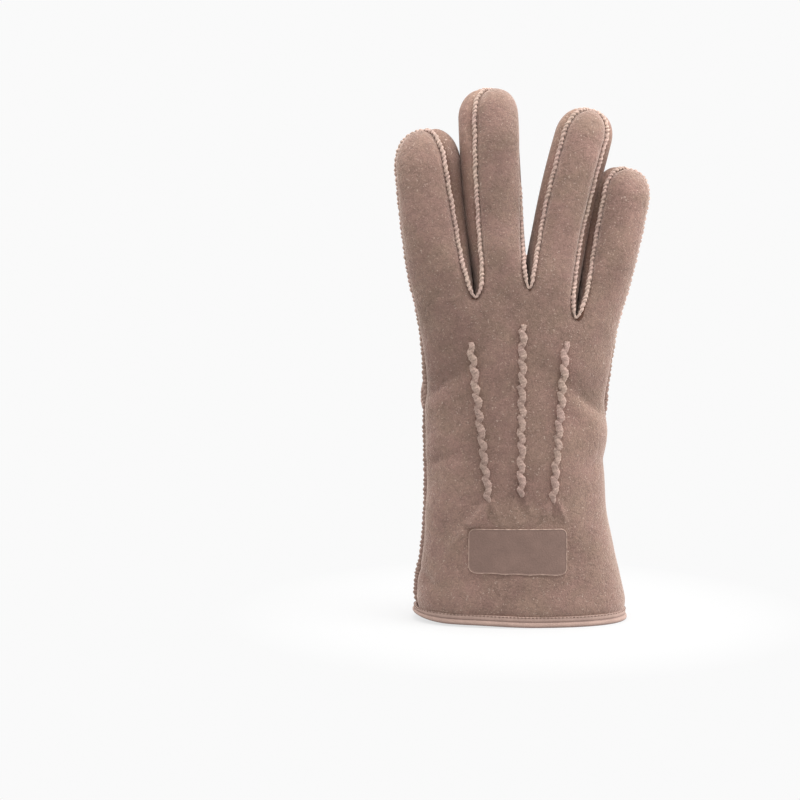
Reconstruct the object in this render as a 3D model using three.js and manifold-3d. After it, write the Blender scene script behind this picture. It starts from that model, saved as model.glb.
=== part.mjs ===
// A suede dress glove for the right hand, standing upright on its bound hem.
// Millimetres, +Z up. The back of the hand faces -Y, the palm +Y and the index finger is on the -X side.
// The shape is worked out from the centre of the hem, on the surface that the glove stands on. At the end
// it is moved so that the origin is below the middle of the whole glove, which the thumb puts nearer +Y.
// The leather is cut as it is on the real glove: a back, a palm, three forked strips between
// the fingers and a thumb that is set into a hole in the palm. All of them but the thumb are cut
// from one smooth skin, so that each seam is a mitred joint with a small gap.
import * as THREE from "three";
import { mergeVertices } from "three/addons/utils/BufferGeometryUtils.js";
import Module from "manifold-3d";

const wasm = await Module();
wasm.setup();

// Driving sizes.
const WALL = 2.0;
const GAP = 0.3;
const SECTION_POWER = 2.4;
const PANEL_BOTTOM = 1.5;
const MIDDLE = { x: -0.21, y: -9.76 };

// The hand from hem to knuckles: where the side seams run and how far back and palm stand out from them.
const HAND = [
  { z: 0, left: -47.9, right: 47.8, back: 24.2, palm: 23.4 },
  { z: 9, left: -49.6, right: 48.8, back: 25.4, palm: 24.2 },
  { z: 20, left: -48.9, right: 46.6, back: 25.0, palm: 22.8 },
  { z: 30, left: -47.0, right: 44.4, back: 24.4, palm: 21.2 },
  { z: 48, left: -45.4, right: 40.7, back: 23.4, palm: 18.4 },
  { z: 62, left: -45.0, right: 38.7, back: 22.6, palm: 19.6 },
  { z: 74, left: -45.1, right: 39.1, back: 22.0, palm: 20.8 },
  { z: 90, left: -45.5, right: 39.9, back: 21.2, palm: 21.4 },
  { z: 108, left: -45.4, right: 40.8, back: 20.6, palm: 21.0 },
  { z: 130, left: -46.8, right: 43.8, back: 19.8, palm: 19.4 },
  { z: 150, left: -50.2, right: 47.4, back: 19.0, palm: 17.6 },
  { z: 165, left: -53.2, right: 50.6, back: 18.4, palm: 17.0 },
];

// The points where two fingers part, with the outer edges of the hand at either end.
const FORKS = [
  { backX: -49.8, backZ: 147.0, palmX: -49.8, palmZ: 147.0 },
  { backX: -21.9, backZ: 150.0, palmX: -20.8, palmZ: 150.3 },
  { backX: 2.4, backZ: 154.4, palmX: 3.6, palmZ: 155.4 },
  { backX: 23.8, backZ: 141.0, palmX: 26.0, palmZ: 143.0 },
  { backX: 45.4, backZ: 136.0, palmX: 45.4, palmZ: 136.0 },
];
const FORK_SAG = 1.5;

// The fingers: axis from base to tip in the front view, sideways bow, how far the tip curls to the palm,
// length of the rounded end and half widths and half depths at the base, the middle and the start of
// the end. Each seam's angle is measured from the side of the finger towards the back or the palm, at
// base and tip.
const FINGERS = [
  {
    name: "index", baseX: -36.3, baseZ: 149.0, tipX: -44.6, tipZ: 226.4, bow: -1.0, curl: 7.0, cap: 17.0,
    width: [14.6, 14.9, 15.1], depth: [13.6, 12.6, 11.8],
    leftBack: [0, 0], leftPalm: [0, 0], rightBack: [0.56, 1.12], rightPalm: [0.7, 1.1],
  },
  {
    name: "middle", baseX: -9.4, baseZ: 153.0, tipX: -15.2, tipZ: 245.1, bow: -1.0, curl: 9.0, cap: 13.5,
    width: [11.9, 13.3, 13.9], depth: [13.6, 12.8, 12.0],
    leftBack: [0.8, 1.06], leftPalm: [0.4, 0.45], rightBack: [0.42, -0.1], rightPalm: [0.55, 0.72],
  },
  {
    name: "ring", baseX: 11.8, baseZ: 149.0, tipX: 31.8, tipZ: 235.6, bow: -2.1, curl: 9.0, cap: 13.5,
    width: [11.4, 12.4, 12.7], depth: [13.2, 12.2, 11.4],
    leftBack: [0.7, 0.75], leftPalm: [0.4, 0.4], rightBack: [0.5, 0.5], rightPalm: [0.6, 0.75],
  },
  {
    name: "little", baseX: 35.2, baseZ: 138.5, tipX: 48.8, tipZ: 208.8, bow: 0.4, curl: 7.0, cap: 13.0,
    width: [9.9, 11.7, 12.5], depth: [12.6, 11.4, 10.6],
    leftBack: [0.5, 0.7], leftPalm: [0.6, 0.8], rightBack: [0, 0], rightPalm: [0, 0],
  },
];
const FINGER_BASE_Y = -1.5;
const FINGER_POWER = 2.2;
const TIP_POWER = 0.8;
const SPREAD = 26;
const MORPH = 34;

// Rows of the skin, as shares of the way from the hem to the knuckles and from there to the end cap,
// and as angles round the cap.
const HAND_ROWS = [0, 0.055, 0.13, 0.2, 0.26, 0.32, 0.38, 0.46, 0.56, 0.67, 0.79, 0.9, 1];
const FINGER_ROWS = [0.025, 0.085, 0.18, 0.3, 0.44, 0.61, 0.8, 1];
const CAP_ANGLES = [24, 44, 61, 76, 90];
const LAST_ROW = HAND_ROWS.length - 1 + FINGER_ROWS.length + CAP_ANGLES.length;
const BACK_CELLS = [6, 6, 6, 6];
const PALM_CELLS = [6, 13, 11, 6];
const SIDE_CELLS = 4;
const WIDEN = 0.06;

// The gathers that an elastic draws up inside the wrist of the palm. One fold takes two columns of cells.
const GATHER = { x: -6.5, z: 48, halfWidth: 13.5, halfHeight: 14, depth: 1.5, draw: 1.4 };

// The thumb's rings from the hole in the palm to where it runs free of the palm. Near is the ring's point
// that stays by the top of the hole and far its opposite; out is the height above the palm. Lean turns the
// ring's width in the front view. The corners are the superellipse powers of the ring's two lower quarters,
// on the index side and on the fingers' side.
const THUMB_BASE = [
  {
    near: [-31.5, 104.0], nearOut: 0.0, far: [-20.5, 53.0], farOut: 0.0,
    lean: -20, width: 17.0, corners: [1.7, 1.6],
  },
  {
    near: [-31.3, 104.7], nearOut: 0.7, far: [-20.3, 56.4], farOut: 2.0,
    lean: -16, width: 12.2, corners: [1.3, 1.4],
  },
  {
    near: [-31.2, 105.4], nearOut: 1.4, far: [-20.3, 62.0], farOut: 8.0,
    lean: -8, width: 14.6, corners: [1.25, 1.5],
  },
  {
    near: [-30.9, 106.0], nearOut: 2.0, far: [-20.3, 71.0], farOut: 14.0,
    lean: 0, width: 17.4, corners: [1.3, 1.5],
  },
  {
    near: [-29.4, 106.6], nearOut: 2.4, far: [-21.0, 82.0], farOut: 19.0,
    lean: 8, width: 19.0, corners: [1.5, 1.7],
  },
  {
    near: [-26.7, 107.1], nearOut: 2.8, far: [-21.9, 94.5], farOut: 23.0,
    lean: 15, width: 20.1, corners: [1.8, 1.95],
  },
  {
    near: [-22.6, 107.5], nearOut: 3.0, far: [-22.6, 107.5], farOut: 25.5,
    lean: 22, width: 20.9, corners: [2.2, 2.2],
  },
];
// The rest of the thumb: distance along its axis, sideways offset, lean, half width and half depth.
const THUMB_LENGTH = [
  { along: 11, offset: -0.1, lean: 26, width: 20.3, depth: 11.4 },
  { along: 23, offset: 0.2, lean: 28.5, width: 19.7, depth: 11.2 },
  { along: 36, offset: 1.4, lean: 29.5, width: 19.0, depth: 10.8 },
  { along: 50, offset: 2.2, lean: 29.5, width: 17.5, depth: 10.0 },
];
const THUMB = { power: 2.2, axisLean: 29.5, cap: 17.2, settle: 3.0, sides: 20 };
const THUMB_CAP_ANGLES = [22, 42, 60, 76, 90];

// The hem binding, the three raised points on the back and the leather patch.
const BINDING = { height: 6.0, inside: 5.0, leather: 1.2, sides: 48 };
const POINTS = [
  { name: "index", topX: -23.8, topZ: 129.9, footX: -15.4, footZ: 57.1 },
  { name: "middle", topX: -0.4, topZ: 138.1, footX: -0.9, footZ: 59.8 },
  { name: "ring", topX: 19.4, topZ: 130.4, footX: 13.7, footZ: 57.1 },
];
const POINT = { width: 3.8, height: 2.2, steps: 14 };
const PATCH = { left: -24.1, right: 19.4, bottom: 25.2, top: 45.3, corner: 3.0, leather: 1.2, columns: 12 };

const SUEDE = { color: 0x97796b, roughness: 0.95, metalness: 0 };
const BINDING_LEATHER = { color: 0xa98979, roughness: 0.8, metalness: 0 };
const PATCH_LEATHER = { color: 0x876a60, roughness: 0.65, metalness: 0 };
const STITCHED_EDGE = { color: 0xb39486, roughness: 0.9, metalness: 0 };

const radians = THREE.MathUtils.degToRad;
const lerp = THREE.MathUtils.lerp;
const smooth = (x, from, to) => THREE.MathUtils.smoothstep(x, from, to);
const vector = (x, y, z) => new THREE.Vector3(x, y, z);

// A power that keeps the sign of its base, for superellipses.
const signedPower = (value, power) => Math.sign(value) * Math.abs(value) ** power;

// One column of the hand table at height z, by a cubic through the rows.
function handAt(column, z) {
  let i = HAND.findIndex((row) => row.z > z) - 1;
  if (i < 0) i = HAND.length - 2;
  const slope = (k) => {
    const before = HAND[Math.max(k - 1, 0)];
    const after = HAND[Math.min(k + 1, HAND.length - 1)];
    return (after[column] - before[column]) / (after.z - before.z);
  };
  const span = HAND[i + 1].z - HAND[i].z;
  const s = (z - HAND[i].z) / span;
  const [p, q] = [HAND[i][column], HAND[i + 1][column]];
  const [m, n] = [slope(i) * span, slope(i + 1) * span];
  return (2 * p - 2 * q + m + n) * s ** 3 + (3 * q - 3 * p - 2 * m - n) * s ** 2 + m * s + p;
}

const handCentre = (z) => (handAt("left", z) + handAt("right", z)) / 2;
const handHalf = (z) => (handAt("right", z) - handAt("left", z)) / 2;

// The folds of the gathers, as a movement towards the inside of the hand. The column counts the
// skin's cells.
function gather(x, z, column) {
  const high = (z - GATHER.z) / GATHER.halfHeight;
  const fade = Math.exp(-(((x - GATHER.x) / GATHER.halfWidth) ** 6)) * Math.exp(-1.4 * high ** 2);
  const fold = 0.5 - 0.5 * Math.cos(Math.PI * column);
  return fade * (GATHER.depth * fold + GATHER.draw * Math.exp(-12 * high ** 2));
}

// A point of the hand at height z. The angle runs from the index side, 0, to the little finger's side, pi.
function handPoint(side, angle, z, column) {
  const x = handCentre(z) - handHalf(z) * signedPower(Math.cos(angle), 2 / SECTION_POWER);
  const out = signedPower(Math.sin(angle), 2 / SECTION_POWER);
  if (side === "back") return vector(x, -handAt("back", z) * out, z);
  const drawn = column === undefined ? 0 : gather(x, z, column);
  return vector(x, (handAt("palm", z) - drawn) * out, z);
}

// The angle at which the hand's section has a given x.
function handAngle(x, z) {
  const share = (handCentre(z) - x) / handHalf(z);
  return Math.acos(THREE.MathUtils.clamp(signedPower(share, SECTION_POWER / 2), -1, 1));
}

const backPoint = (x, z) => handPoint("back", handAngle(x, z), z);
const palmPoint = (x, z) => handPoint("palm", handAngle(x, z), z);

// A value given at the base, the middle and the start of the end cap of a finger.
function alongFinger([base, middle, end], share) {
  const s = THREE.MathUtils.clamp(share, 0, 1);
  return base * (1 - s) * (1 - 2 * s) + middle * 4 * s * (1 - s) + end * s * (2 * s - 1);
}

// A finger's axis and section at one row of the skin, with the row's distance from the base.
function fingerRow(finger, row) {
  const base = vector(finger.baseX, FINGER_BASE_Y, finger.baseZ);
  const tip = vector(finger.tipX, FINGER_BASE_Y, finger.tipZ);
  const axis = tip.clone().sub(base);
  const length = axis.length();
  axis.normalize();
  const across = vector(axis.z, 0, -axis.x);
  const step = row - HAND_ROWS.length;
  const straight = length - finger.cap;
  let along = 0;
  let shrink = 1;
  if (step >= FINGER_ROWS.length) {
    const angle = radians(CAP_ANGLES[step - FINGER_ROWS.length]);
    along = straight + finger.cap * Math.sin(angle);
    shrink = angle < Math.PI / 2 ? Math.cos(angle) ** TIP_POWER : 0;
  } else if (step >= 0) {
    along = straight * FINGER_ROWS[step];
  }
  const share = along / length;
  const centre = base.clone().addScaledVector(axis, along);
  centre.addScaledVector(across, finger.bow * 4 * share * (1 - share));
  centre.y += finger.curl * share ** 2;
  return {
    axis, across, along, centre, share,
    halfWidth: alongFinger(finger.width, along / straight) * shrink,
    halfDepth: alongFinger(finger.depth, along / straight) * shrink,
    spread: 1 - (1 - Math.min(along / SPREAD, 1)) ** 4,
    blend: smooth(along, 0, MORPH),
  };
}

// A point of a finger's section. The angle runs from its left side over the back, or over the palm.
function sectionPoint(at, side, angle) {
  const sideways = -at.halfWidth * signedPower(Math.cos(angle), 2 / FINGER_POWER);
  const out = at.halfDepth * signedPower(Math.sin(angle), 2 / FINGER_POWER);
  const point = at.centre.clone().addScaledVector(at.across, sideways);
  point.y += side === "back" ? -out : out;
  return point;
}

// Carries a point of the knuckle row up a finger, where it spreads into the finger's own section.
function carryUp(point, at, target) {
  const carried = point.clone().addScaledVector(at.axis, at.along);
  return vector(
    lerp(carried.x, target.x, at.spread),
    lerp(carried.y, target.y, at.blend),
    lerp(carried.z, target.z, at.blend),
  );
}

// A point of the back or palm skin: strip and column across it, and the row from hem to fingertip.
// Towards the fingers the outer columns widen, so that the wall's inner face has room beside each seam.
function stripPoint(side, strip, even, row) {
  const [a, b] = [FORKS[strip], FORKS[strip + 1]];
  const from = handAngle(a[`${side}X`], a[`${side}Z`]);
  const to = handAngle(b[`${side}X`], b[`${side}Z`]);
  const rise = HAND_ROWS[Math.min(row, HAND_ROWS.length - 1)];
  const share = even + WIDEN * smooth(rise, 0.5, 1) * Math.sin(2 * Math.PI * even);
  const top = lerp(a[`${side}Z`], b[`${side}Z`], share);
  const column = PALM_CELLS.slice(0, strip).reduce((sum, n) => sum + n, even * PALM_CELLS[strip]);
  const hand = handPoint(side, lerp(from, to, share), lerp(PANEL_BOTTOM, top, rise), column);
  if (row < HAND_ROWS.length) return hand;
  const finger = FINGERS[strip];
  const at = fingerRow(finger, row);
  const [left, right] = side === "back"
    ? [finger.leftBack, finger.rightBack]
    : [finger.leftPalm, finger.rightPalm];
  const first = lerp(...left, at.share);
  const last = Math.PI - lerp(...right, at.share);
  return carryUp(hand, at, sectionPoint(at, side, lerp(first, last, share)));
}

// A point of a finger's side wall, which is one prong of a forked strip: share from the back seam to
// the palm seam.
function sidePoint(strip, edge, share, row) {
  const fork = FORKS[edge === "left" ? strip : strip + 1];
  const back = handPoint("back", handAngle(fork.backX, fork.backZ), fork.backZ);
  const palm = handPoint("palm", handAngle(fork.palmX, fork.palmZ), fork.palmZ);
  const web = back.lerp(palm, share);
  web.z -= FORK_SAG * Math.sin(Math.PI * share);
  if (row < HAND_ROWS.length) return web;
  const finger = FINGERS[strip];
  const at = fingerRow(finger, row);
  const toBack = lerp(...finger[`${edge}Back`], at.share);
  const toPalm = lerp(...finger[`${edge}Palm`], at.share);
  const turn = lerp(toBack, -toPalm, share);
  return carryUp(web, at, sectionPoint(at, "back", edge === "left" ? turn : Math.PI - turn));
}

// The skin: all panels' quads on one set of welded points, so that they share their seams.
const skin = { points: [], keys: new Map(), quads: [] };

function weld(point) {
  const key = point.toArray().map((v) => Math.round(v * 1000)).join(" ");
  if (!skin.keys.has(key)) {
    skin.keys.set(key, skin.points.length);
    skin.points.push(point);
  }
  return skin.keys.get(key);
}

// Adds a grid of quads for a panel. Flipped turns its faces round.
function addGrid(panel, columns, fromRow, toRow, pointAt, flipped) {
  const id = [];
  for (let row = fromRow; row <= toRow; row++) {
    id.push(Array.from({ length: columns + 1 }, (_, i) => weld(pointAt(i / columns, row))));
  }
  for (let r = 0; r < id.length - 1; r++) {
    for (let i = 0; i < columns; i++) {
      const quad = [id[r][i], id[r][i + 1], id[r + 1][i + 1], id[r + 1][i]];
      skin.quads.push({ panel, corners: flipped ? quad.reverse() : quad });
    }
  }
}

const KNUCKLES = HAND_ROWS.length - 1;
FINGERS.forEach((finger, strip) => {
  const onBack = (u, row) => stripPoint("back", strip, u, row);
  const onPalm = (u, row) => stripPoint("palm", strip, u, row);
  addGrid("back_panel", BACK_CELLS[strip], 0, LAST_ROW, onBack, false);
  addGrid("palm_panel", PALM_CELLS[strip], 0, LAST_ROW, onPalm, true);
  if (strip < FINGERS.length - 1) {
    const panel = `fork_${finger.name}_${FINGERS[strip + 1].name}`;
    addGrid(panel, SIDE_CELLS, KNUCKLES, LAST_ROW, (u, row) => sidePoint(strip, "right", u, row), false);
    addGrid(panel, SIDE_CELLS, KNUCKLES, LAST_ROW, (u, row) => sidePoint(strip + 1, "left", u, row), true);
  }
});

// The two triangles of a quad, split along its shorter diagonal, or one where two of its corners are
// the same.
function trianglesOf([a, b, c, d], points) {
  const split = points[a].distanceTo(points[c]) < points[b].distanceTo(points[d])
    ? [[a, b, c], [a, c, d]]
    : [[b, c, d], [b, d, a]];
  return split.filter(([p, q, r]) => p !== q && q !== r && r !== p);
}

// The outward direction at each point of a surface: its faces' directions, weighed by their corners'
// angles.
function outwardAt(points, triangles) {
  const directions = points.map(() => vector(0, 0, 0));
  for (const triangle of triangles) {
    triangle.forEach((i, k) => {
      const first = points[triangle[(k + 1) % 3]].clone().sub(points[i]);
      const second = points[triangle[(k + 2) % 3]].clone().sub(points[i]);
      const face = first.clone().cross(second).normalize();
      directions[i].addScaledVector(face, first.angleTo(second));
    });
  }
  return directions.map((direction) => direction.normalize());
}

const trianglesIn = (panel) => skin.quads
  .filter((quad) => quad.panel === panel)
  .flatMap((quad) => trianglesOf(quad.corners, skin.points));

// On a seam the panels' directions count alike, which makes the joint between them a mitre.
const outward = skin.points.map(() => vector(0, 0, 0));
for (const panel of new Set(skin.quads.map((quad) => quad.panel))) {
  outwardAt(skin.points, trianglesIn(panel)).forEach((direction, i) => outward[i].add(direction));
}
outward.forEach((direction) => direction.normalize());

function geometryOf(points, triangles) {
  const geometry = new THREE.BufferGeometry();
  const numbers = points.flatMap((p) => p.toArray());
  geometry.setAttribute("position", new THREE.Float32BufferAttribute(numbers, 3));
  geometry.setIndex(triangles.flat());
  return geometry;
}

// A wall from an outer surface and its inner copy: both faces, and a strip along each open edge.
// Two panels that share a seam rank its points alike, so that both split the strip the same way.
function wallGeometry(outer, inner, triangles, rank = (i) => i) {
  const count = outer.length;
  const edges = new Map();
  for (const triangle of triangles) {
    triangle.forEach((from, k) => {
      const to = triangle[(k + 1) % 3];
      edges.set(`${from} ${to}`, [from, to]);
    });
  }
  const faces = [...triangles, ...triangles.map(([a, b, c]) => [c + count, b + count, a + count])];
  for (const [p, q] of edges.values()) {
    if (edges.has(`${q} ${p}`)) continue;
    if (rank(p) < rank(q)) faces.push([q, p, q + count], [p, p + count, q + count]);
    else faces.push([q, p, p + count], [q, p + count, q + count]);
  }
  return geometryOf([...outer, ...inner], faces);
}

// Draws the open edges of a surface in by a distance, square to both edges that meet at each point.
function drawIn(points, triangles, distance) {
  const directed = new Set(triangles.flatMap(([a, b, c]) => [`${a} ${b}`, `${b} ${c}`, `${c} ${a}`]));
  const inward = new Map();
  for (const triangle of triangles) {
    triangle.forEach((from, k) => {
      const to = triangle[(k + 1) % 3];
      if (directed.has(`${to} ${from}`)) return;
      const edge = points[to].clone().sub(points[from]).normalize();
      const across = points[triangle[(k + 2) % 3]].clone().sub(points[from]);
      across.addScaledVector(edge, -across.dot(edge)).normalize();
      [from, to].forEach((i) => inward.set(i, [...(inward.get(i) ?? []), across]));
    });
  }
  inward.forEach(([first, second], i) => {
    const sharpness = Math.max(1 + first.dot(second), 0.08);
    points[i].addScaledVector(first.clone().add(second), distance / sharpness);
  });
}

// One leather panel: its share of the skin made a wall, with its edges drawn in by half the seam's gap.
function panelGeometry(panel) {
  const local = new Map();
  const triangles = trianglesIn(panel).map((triangle) => triangle.map((i) => {
    if (!local.has(i)) local.set(i, local.size);
    return local.get(i);
  }));
  const ids = [...local.keys()];
  const outer = ids.map((i) => skin.points[i].clone());
  const inner = ids.map((i) => skin.points[i].clone().addScaledVector(outward[i], -WALL));
  drawIn(outer, triangles, GAP / 2);
  drawIn(inner, triangles, GAP / 2);
  return wallGeometry(outer, inner, triangles, (i) => ids[i]);
}

// Closed meshes as solids of the boolean library, and back.
function solidOf(geometry) {
  const bare = new THREE.BufferGeometry();
  bare.setAttribute("position", geometry.getAttribute("position"));
  if (geometry.index) bare.setIndex(geometry.index);
  const merged = mergeVertices(bare, 1e-4);
  return new wasm.Manifold(new wasm.Mesh({
    numProp: 3,
    vertProperties: new Float32Array(merged.attributes.position.array),
    triVerts: new Uint32Array(merged.index.array),
  }));
}

function geometryFrom(solid) {
  const mesh = solid.getMesh();
  const geometry = new THREE.BufferGeometry();
  geometry.setAttribute("position", new THREE.BufferAttribute(new Float32Array(mesh.vertProperties), 3));
  geometry.setIndex(new THREE.BufferAttribute(new Uint32Array(mesh.triVerts), 1));
  return geometry;
}

// A prism along Y over an outline in the front view, from one depth to another.
function prismAlongY(outline, fromY, toY) {
  const shape = new THREE.Shape(outline.map(([x, z]) => new THREE.Vector2(x, -z)));
  const geometry = new THREE.ExtrudeGeometry(shape, { depth: toY - fromY, bevelEnabled: false });
  return geometry.rotateX(-Math.PI / 2).translate(0, fromY, 0);
}

// One ring of the thumb: a superellipse between its near and far points, with a power for each lower
// corner.
function ringPoint({ near, far, across, corners }, angle) {
  const [c, s] = [Math.cos(angle), Math.sin(angle)];
  const power = 2 / (s >= 0 ? THUMB.power : corners[c < 0 ? 0 : 1]);
  return near.clone().lerp(far, 0.5)
    .addScaledVector(across, signedPower(c, power))
    .addScaledVector(near.clone().sub(far), signedPower(s, power) / 2);
}

// The thumb's rings from the hole's edge to the tip. The first ones still follow the palm's face.
function thumbRings() {
  const last = THUMB_BASE[THUMB_BASE.length - 1];
  const palmY = palmPoint(...last.near).y + GAP;
  const acrossAt = (lean, width) => (
    vector(Math.cos(radians(lean)), 0, -Math.sin(radians(lean))).multiplyScalar(width)
  );
  const rings = THUMB_BASE.map((row, k) => ({
    near: vector(row.near[0], palmY + row.nearOut, row.near[1]),
    far: vector(row.far[0], palmY + row.farOut, row.far[1]),
    across: acrossAt(row.lean, row.width),
    corners: row.corners,
    follow: (1 - k / (THUMB_BASE.length - 1)) ** 2,
  }));
  const axis = vector(Math.sin(radians(THUMB.axisLean)), 0, Math.cos(radians(THUMB.axisLean)));
  const start = vector(last.near[0], palmY + (last.nearOut + last.farOut) / 2, last.near[1]);
  const end = THUMB_LENGTH[THUMB_LENGTH.length - 1];
  const length = end.along + THUMB.cap;
  const free = THUMB_LENGTH.map((row) => ({ ...row, shrink: 1 }));
  THUMB_CAP_ANGLES.forEach((degrees) => free.push({
    ...end,
    along: end.along + THUMB.cap * Math.sin(radians(degrees)),
    shrink: degrees < 90 ? Math.cos(radians(degrees)) ** TIP_POWER : 0,
  }));
  free.forEach(({ along, offset, lean, width, depth, shrink }) => {
    const centre = start.clone().addScaledVector(axis, along).add(acrossAt(lean, offset));
    centre.y -= THUMB.settle * (along / length) ** 2;
    const half = vector(0, depth * shrink, 0);
    rings.push({
      near: centre.clone().sub(half), far: centre.clone().add(half),
      across: acrossAt(lean, width * shrink), corners: last.corners, follow: 0,
    });
  });
  return rings.map((ring) => Array.from({ length: THUMB.sides }, (_, k) => {
    const point = ringPoint(ring, (2 * Math.PI * k) / THUMB.sides);
    point.y += ring.follow * (palmPoint(point.x, point.z).y + GAP - palmY);
    return point;
  }));
}

// The edge of the hole in the palm in the front view: the thumb's first ring, drawn in by its wall.
function holeOutline(steps) {
  const row = THUMB_BASE[0];
  const lean = radians(row.lean);
  const ring = {
    near: vector(row.near[0], 0, row.near[1]), far: vector(row.far[0], 0, row.far[1]),
    across: vector(Math.cos(lean), 0, -Math.sin(lean)).multiplyScalar(row.width), corners: row.corners,
  };
  const centre = ring.near.clone().lerp(ring.far, 0.5);
  return Array.from({ length: steps }, (_, k) => {
    const point = ringPoint(ring, (2 * Math.PI * k) / steps);
    return point.addScaledVector(centre.clone().sub(point).normalize(), WALL);
  });
}

function thumbGeometry() {
  const rings = thumbRings();
  const outer = [];
  const keys = new Map();
  const idOf = (point) => {
    const key = point.toArray().map((v) => Math.round(v * 1000)).join(" ");
    if (!keys.has(key)) {
      keys.set(key, outer.length);
      outer.push(point);
    }
    return keys.get(key);
  };
  const ids = rings.map((ring) => ring.map(idOf));
  const triangles = [];
  for (let r = 0; r < ids.length - 1; r++) {
    for (let k = 0; k < THUMB.sides; k++) {
      const next = (k + 1) % THUMB.sides;
      triangles.push(...trianglesOf([ids[r][next], ids[r][k], ids[r + 1][k], ids[r + 1][next]], outer));
    }
  }
  const out = outwardAt(outer, triangles);
  // The first ring's wall lies flat on the palm, towards the middle of the hole.
  const inner = outer.map((point, i) => point.clone().addScaledVector(out[i], -WALL));
  holeOutline(THUMB.sides).forEach((edge, k) => {
    inner[ids[0][k]] = vector(edge.x, palmPoint(edge.x, edge.z).y + GAP, edge.z);
  });
  return wallGeometry(outer, inner, triangles);
}

// The palm panel with the thumb hole cut through it.
function palmGeometry() {
  const outline = holeOutline(28).map((point) => [point.x, point.z]);
  return geometryFrom(solidOf(panelGeometry("palm_panel")).subtract(solidOf(prismAlongY(outline, 0, 40))));
}

// A band swept round the hem: each corner of its section is an offset from the leather's face and a height.
function bindingGeometry() {
  const { height, inside, leather, sides } = BINDING;
  const face = GAP + leather;
  const lining = WALL + 2 * GAP;
  const section = [
    [face, 0], [face, height], [GAP, height], [GAP, PANEL_BOTTOM],
    [-lining, PANEL_BOTTOM], [-lining, inside], [-lining - leather, inside], [-lining - leather, 0],
  ];
  const around = (turn, z) => {
    const back = turn < Math.PI;
    return handPoint(back ? "back" : "palm", back ? turn : 2 * Math.PI - turn, z);
  };
  const points = [];
  for (let k = 0; k < sides; k++) {
    const turn = (2 * Math.PI * k) / sides;
    const small = 0.01;
    const ahead = around((turn + small) % (2 * Math.PI), 0);
    const behind = around((turn - small + 2 * Math.PI) % (2 * Math.PI), 0);
    const out = vector(ahead.y - behind.y, behind.x - ahead.x, 0).normalize();
    section.forEach(([offset, z]) => points.push(around(turn, z).addScaledVector(out, offset)));
  }
  const triangles = [];
  const n = section.length;
  for (let k = 0; k < sides; k++) {
    for (let i = 0; i < n; i++) {
      const [a, b] = [k * n + i, k * n + ((i + 1) % n)];
      const [c, d] = [((k + 1) % sides) * n + ((i + 1) % n), ((k + 1) % sides) * n + i];
      triangles.push([a, c, b], [a, d, c]);
    }
  }
  return geometryOf(points, triangles);
}

// A raised point: a low ridge of leather that runs down the back and follows its face.
function pointGeometry({ topX, topZ, footX, footZ }) {
  const half = POINT.width / 2;
  const section = [
    [-half, GAP], [-half, GAP + POINT.height * 0.5], [-half * 0.5, GAP + POINT.height],
    [half * 0.5, GAP + POINT.height], [half, GAP + POINT.height * 0.5], [half, GAP],
  ];
  const points = [];
  for (let k = 0; k <= POINT.steps; k++) {
    const share = k / POINT.steps;
    const [x, z] = [lerp(footX, topX, share), lerp(footZ, topZ, share)];
    const seat = backPoint(x, z);
    const along = backPoint(x, z + 1).sub(seat);
    const across = backPoint(x + 1, z).sub(seat).normalize();
    const out = across.clone().cross(along).normalize();
    const taper = k === 0 || k === POINT.steps ? 0.6 : 1;
    section.forEach(([sideways, lift]) => {
      points.push(seat.clone().addScaledVector(across, sideways * taper).addScaledVector(out, lift));
    });
  }
  const n = section.length;
  const triangles = [];
  for (let k = 0; k < POINT.steps; k++) {
    for (let i = 0; i < n; i++) {
      const [a, b] = [k * n + i, k * n + ((i + 1) % n)];
      triangles.push([a, b, a + n], [b, b + n, a + n]);
    }
  }
  const lastRing = POINT.steps * n;
  for (let i = 1; i < n - 1; i++) {
    triangles.push([0, i + 1, i], [lastRing, lastRing + i, lastRing + i + 1]);
  }
  return geometryOf(points, triangles);
}

// The patch: a thin layer that follows the back, cut to a rectangle with round corners.
function patchGeometry() {
  const { left, right, bottom, top, corner, leather, columns } = PATCH;
  const margin = 1;
  const rows = 4;
  const outer = [];
  const inner = [];
  for (let r = 0; r <= rows; r++) {
    for (let c = 0; c <= columns; c++) {
      const x = lerp(left - margin, right + margin, c / columns);
      const z = lerp(bottom - margin, top + margin, r / rows);
      const seat = backPoint(x, z);
      outer.push(seat.clone().add(vector(0, -GAP - leather, 0)));
      inner.push(seat.clone().add(vector(0, -GAP, 0)));
    }
  }
  const triangles = [];
  for (let r = 0; r < rows; r++) {
    for (let c = 0; c < columns; c++) {
      const a = r * (columns + 1) + c;
      triangles.push([a, a + 1, a + columns + 2], [a, a + columns + 2, a + columns + 1]);
    }
  }
  const outline = [];
  const cornerSteps = 4;
  const centres = [
    [right - corner, top - corner, 0], [left + corner, top - corner, 90],
    [left + corner, bottom + corner, 180], [right - corner, bottom + corner, 270],
  ];
  for (const [x, z, from] of centres) {
    for (let k = 0; k <= cornerSteps; k++) {
      const angle = radians(from + (90 * k) / cornerSteps);
      outline.push([x + corner * Math.cos(angle), z + corner * Math.sin(angle)]);
    }
  }
  const sheet = solidOf(wallGeometry(outer, inner, triangles));
  return geometryFrom(sheet.intersect(solidOf(prismAlongY(outline, -40, 0))));
}

const glove = new THREE.Group();

function addPart(name, geometry, finish) {
  geometry.translate(MIDDLE.x, MIDDLE.y, 0);
  const mesh = new THREE.Mesh(geometry, new THREE.MeshStandardMaterial(finish));
  mesh.name = name;
  glove.add(mesh);
}

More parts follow.
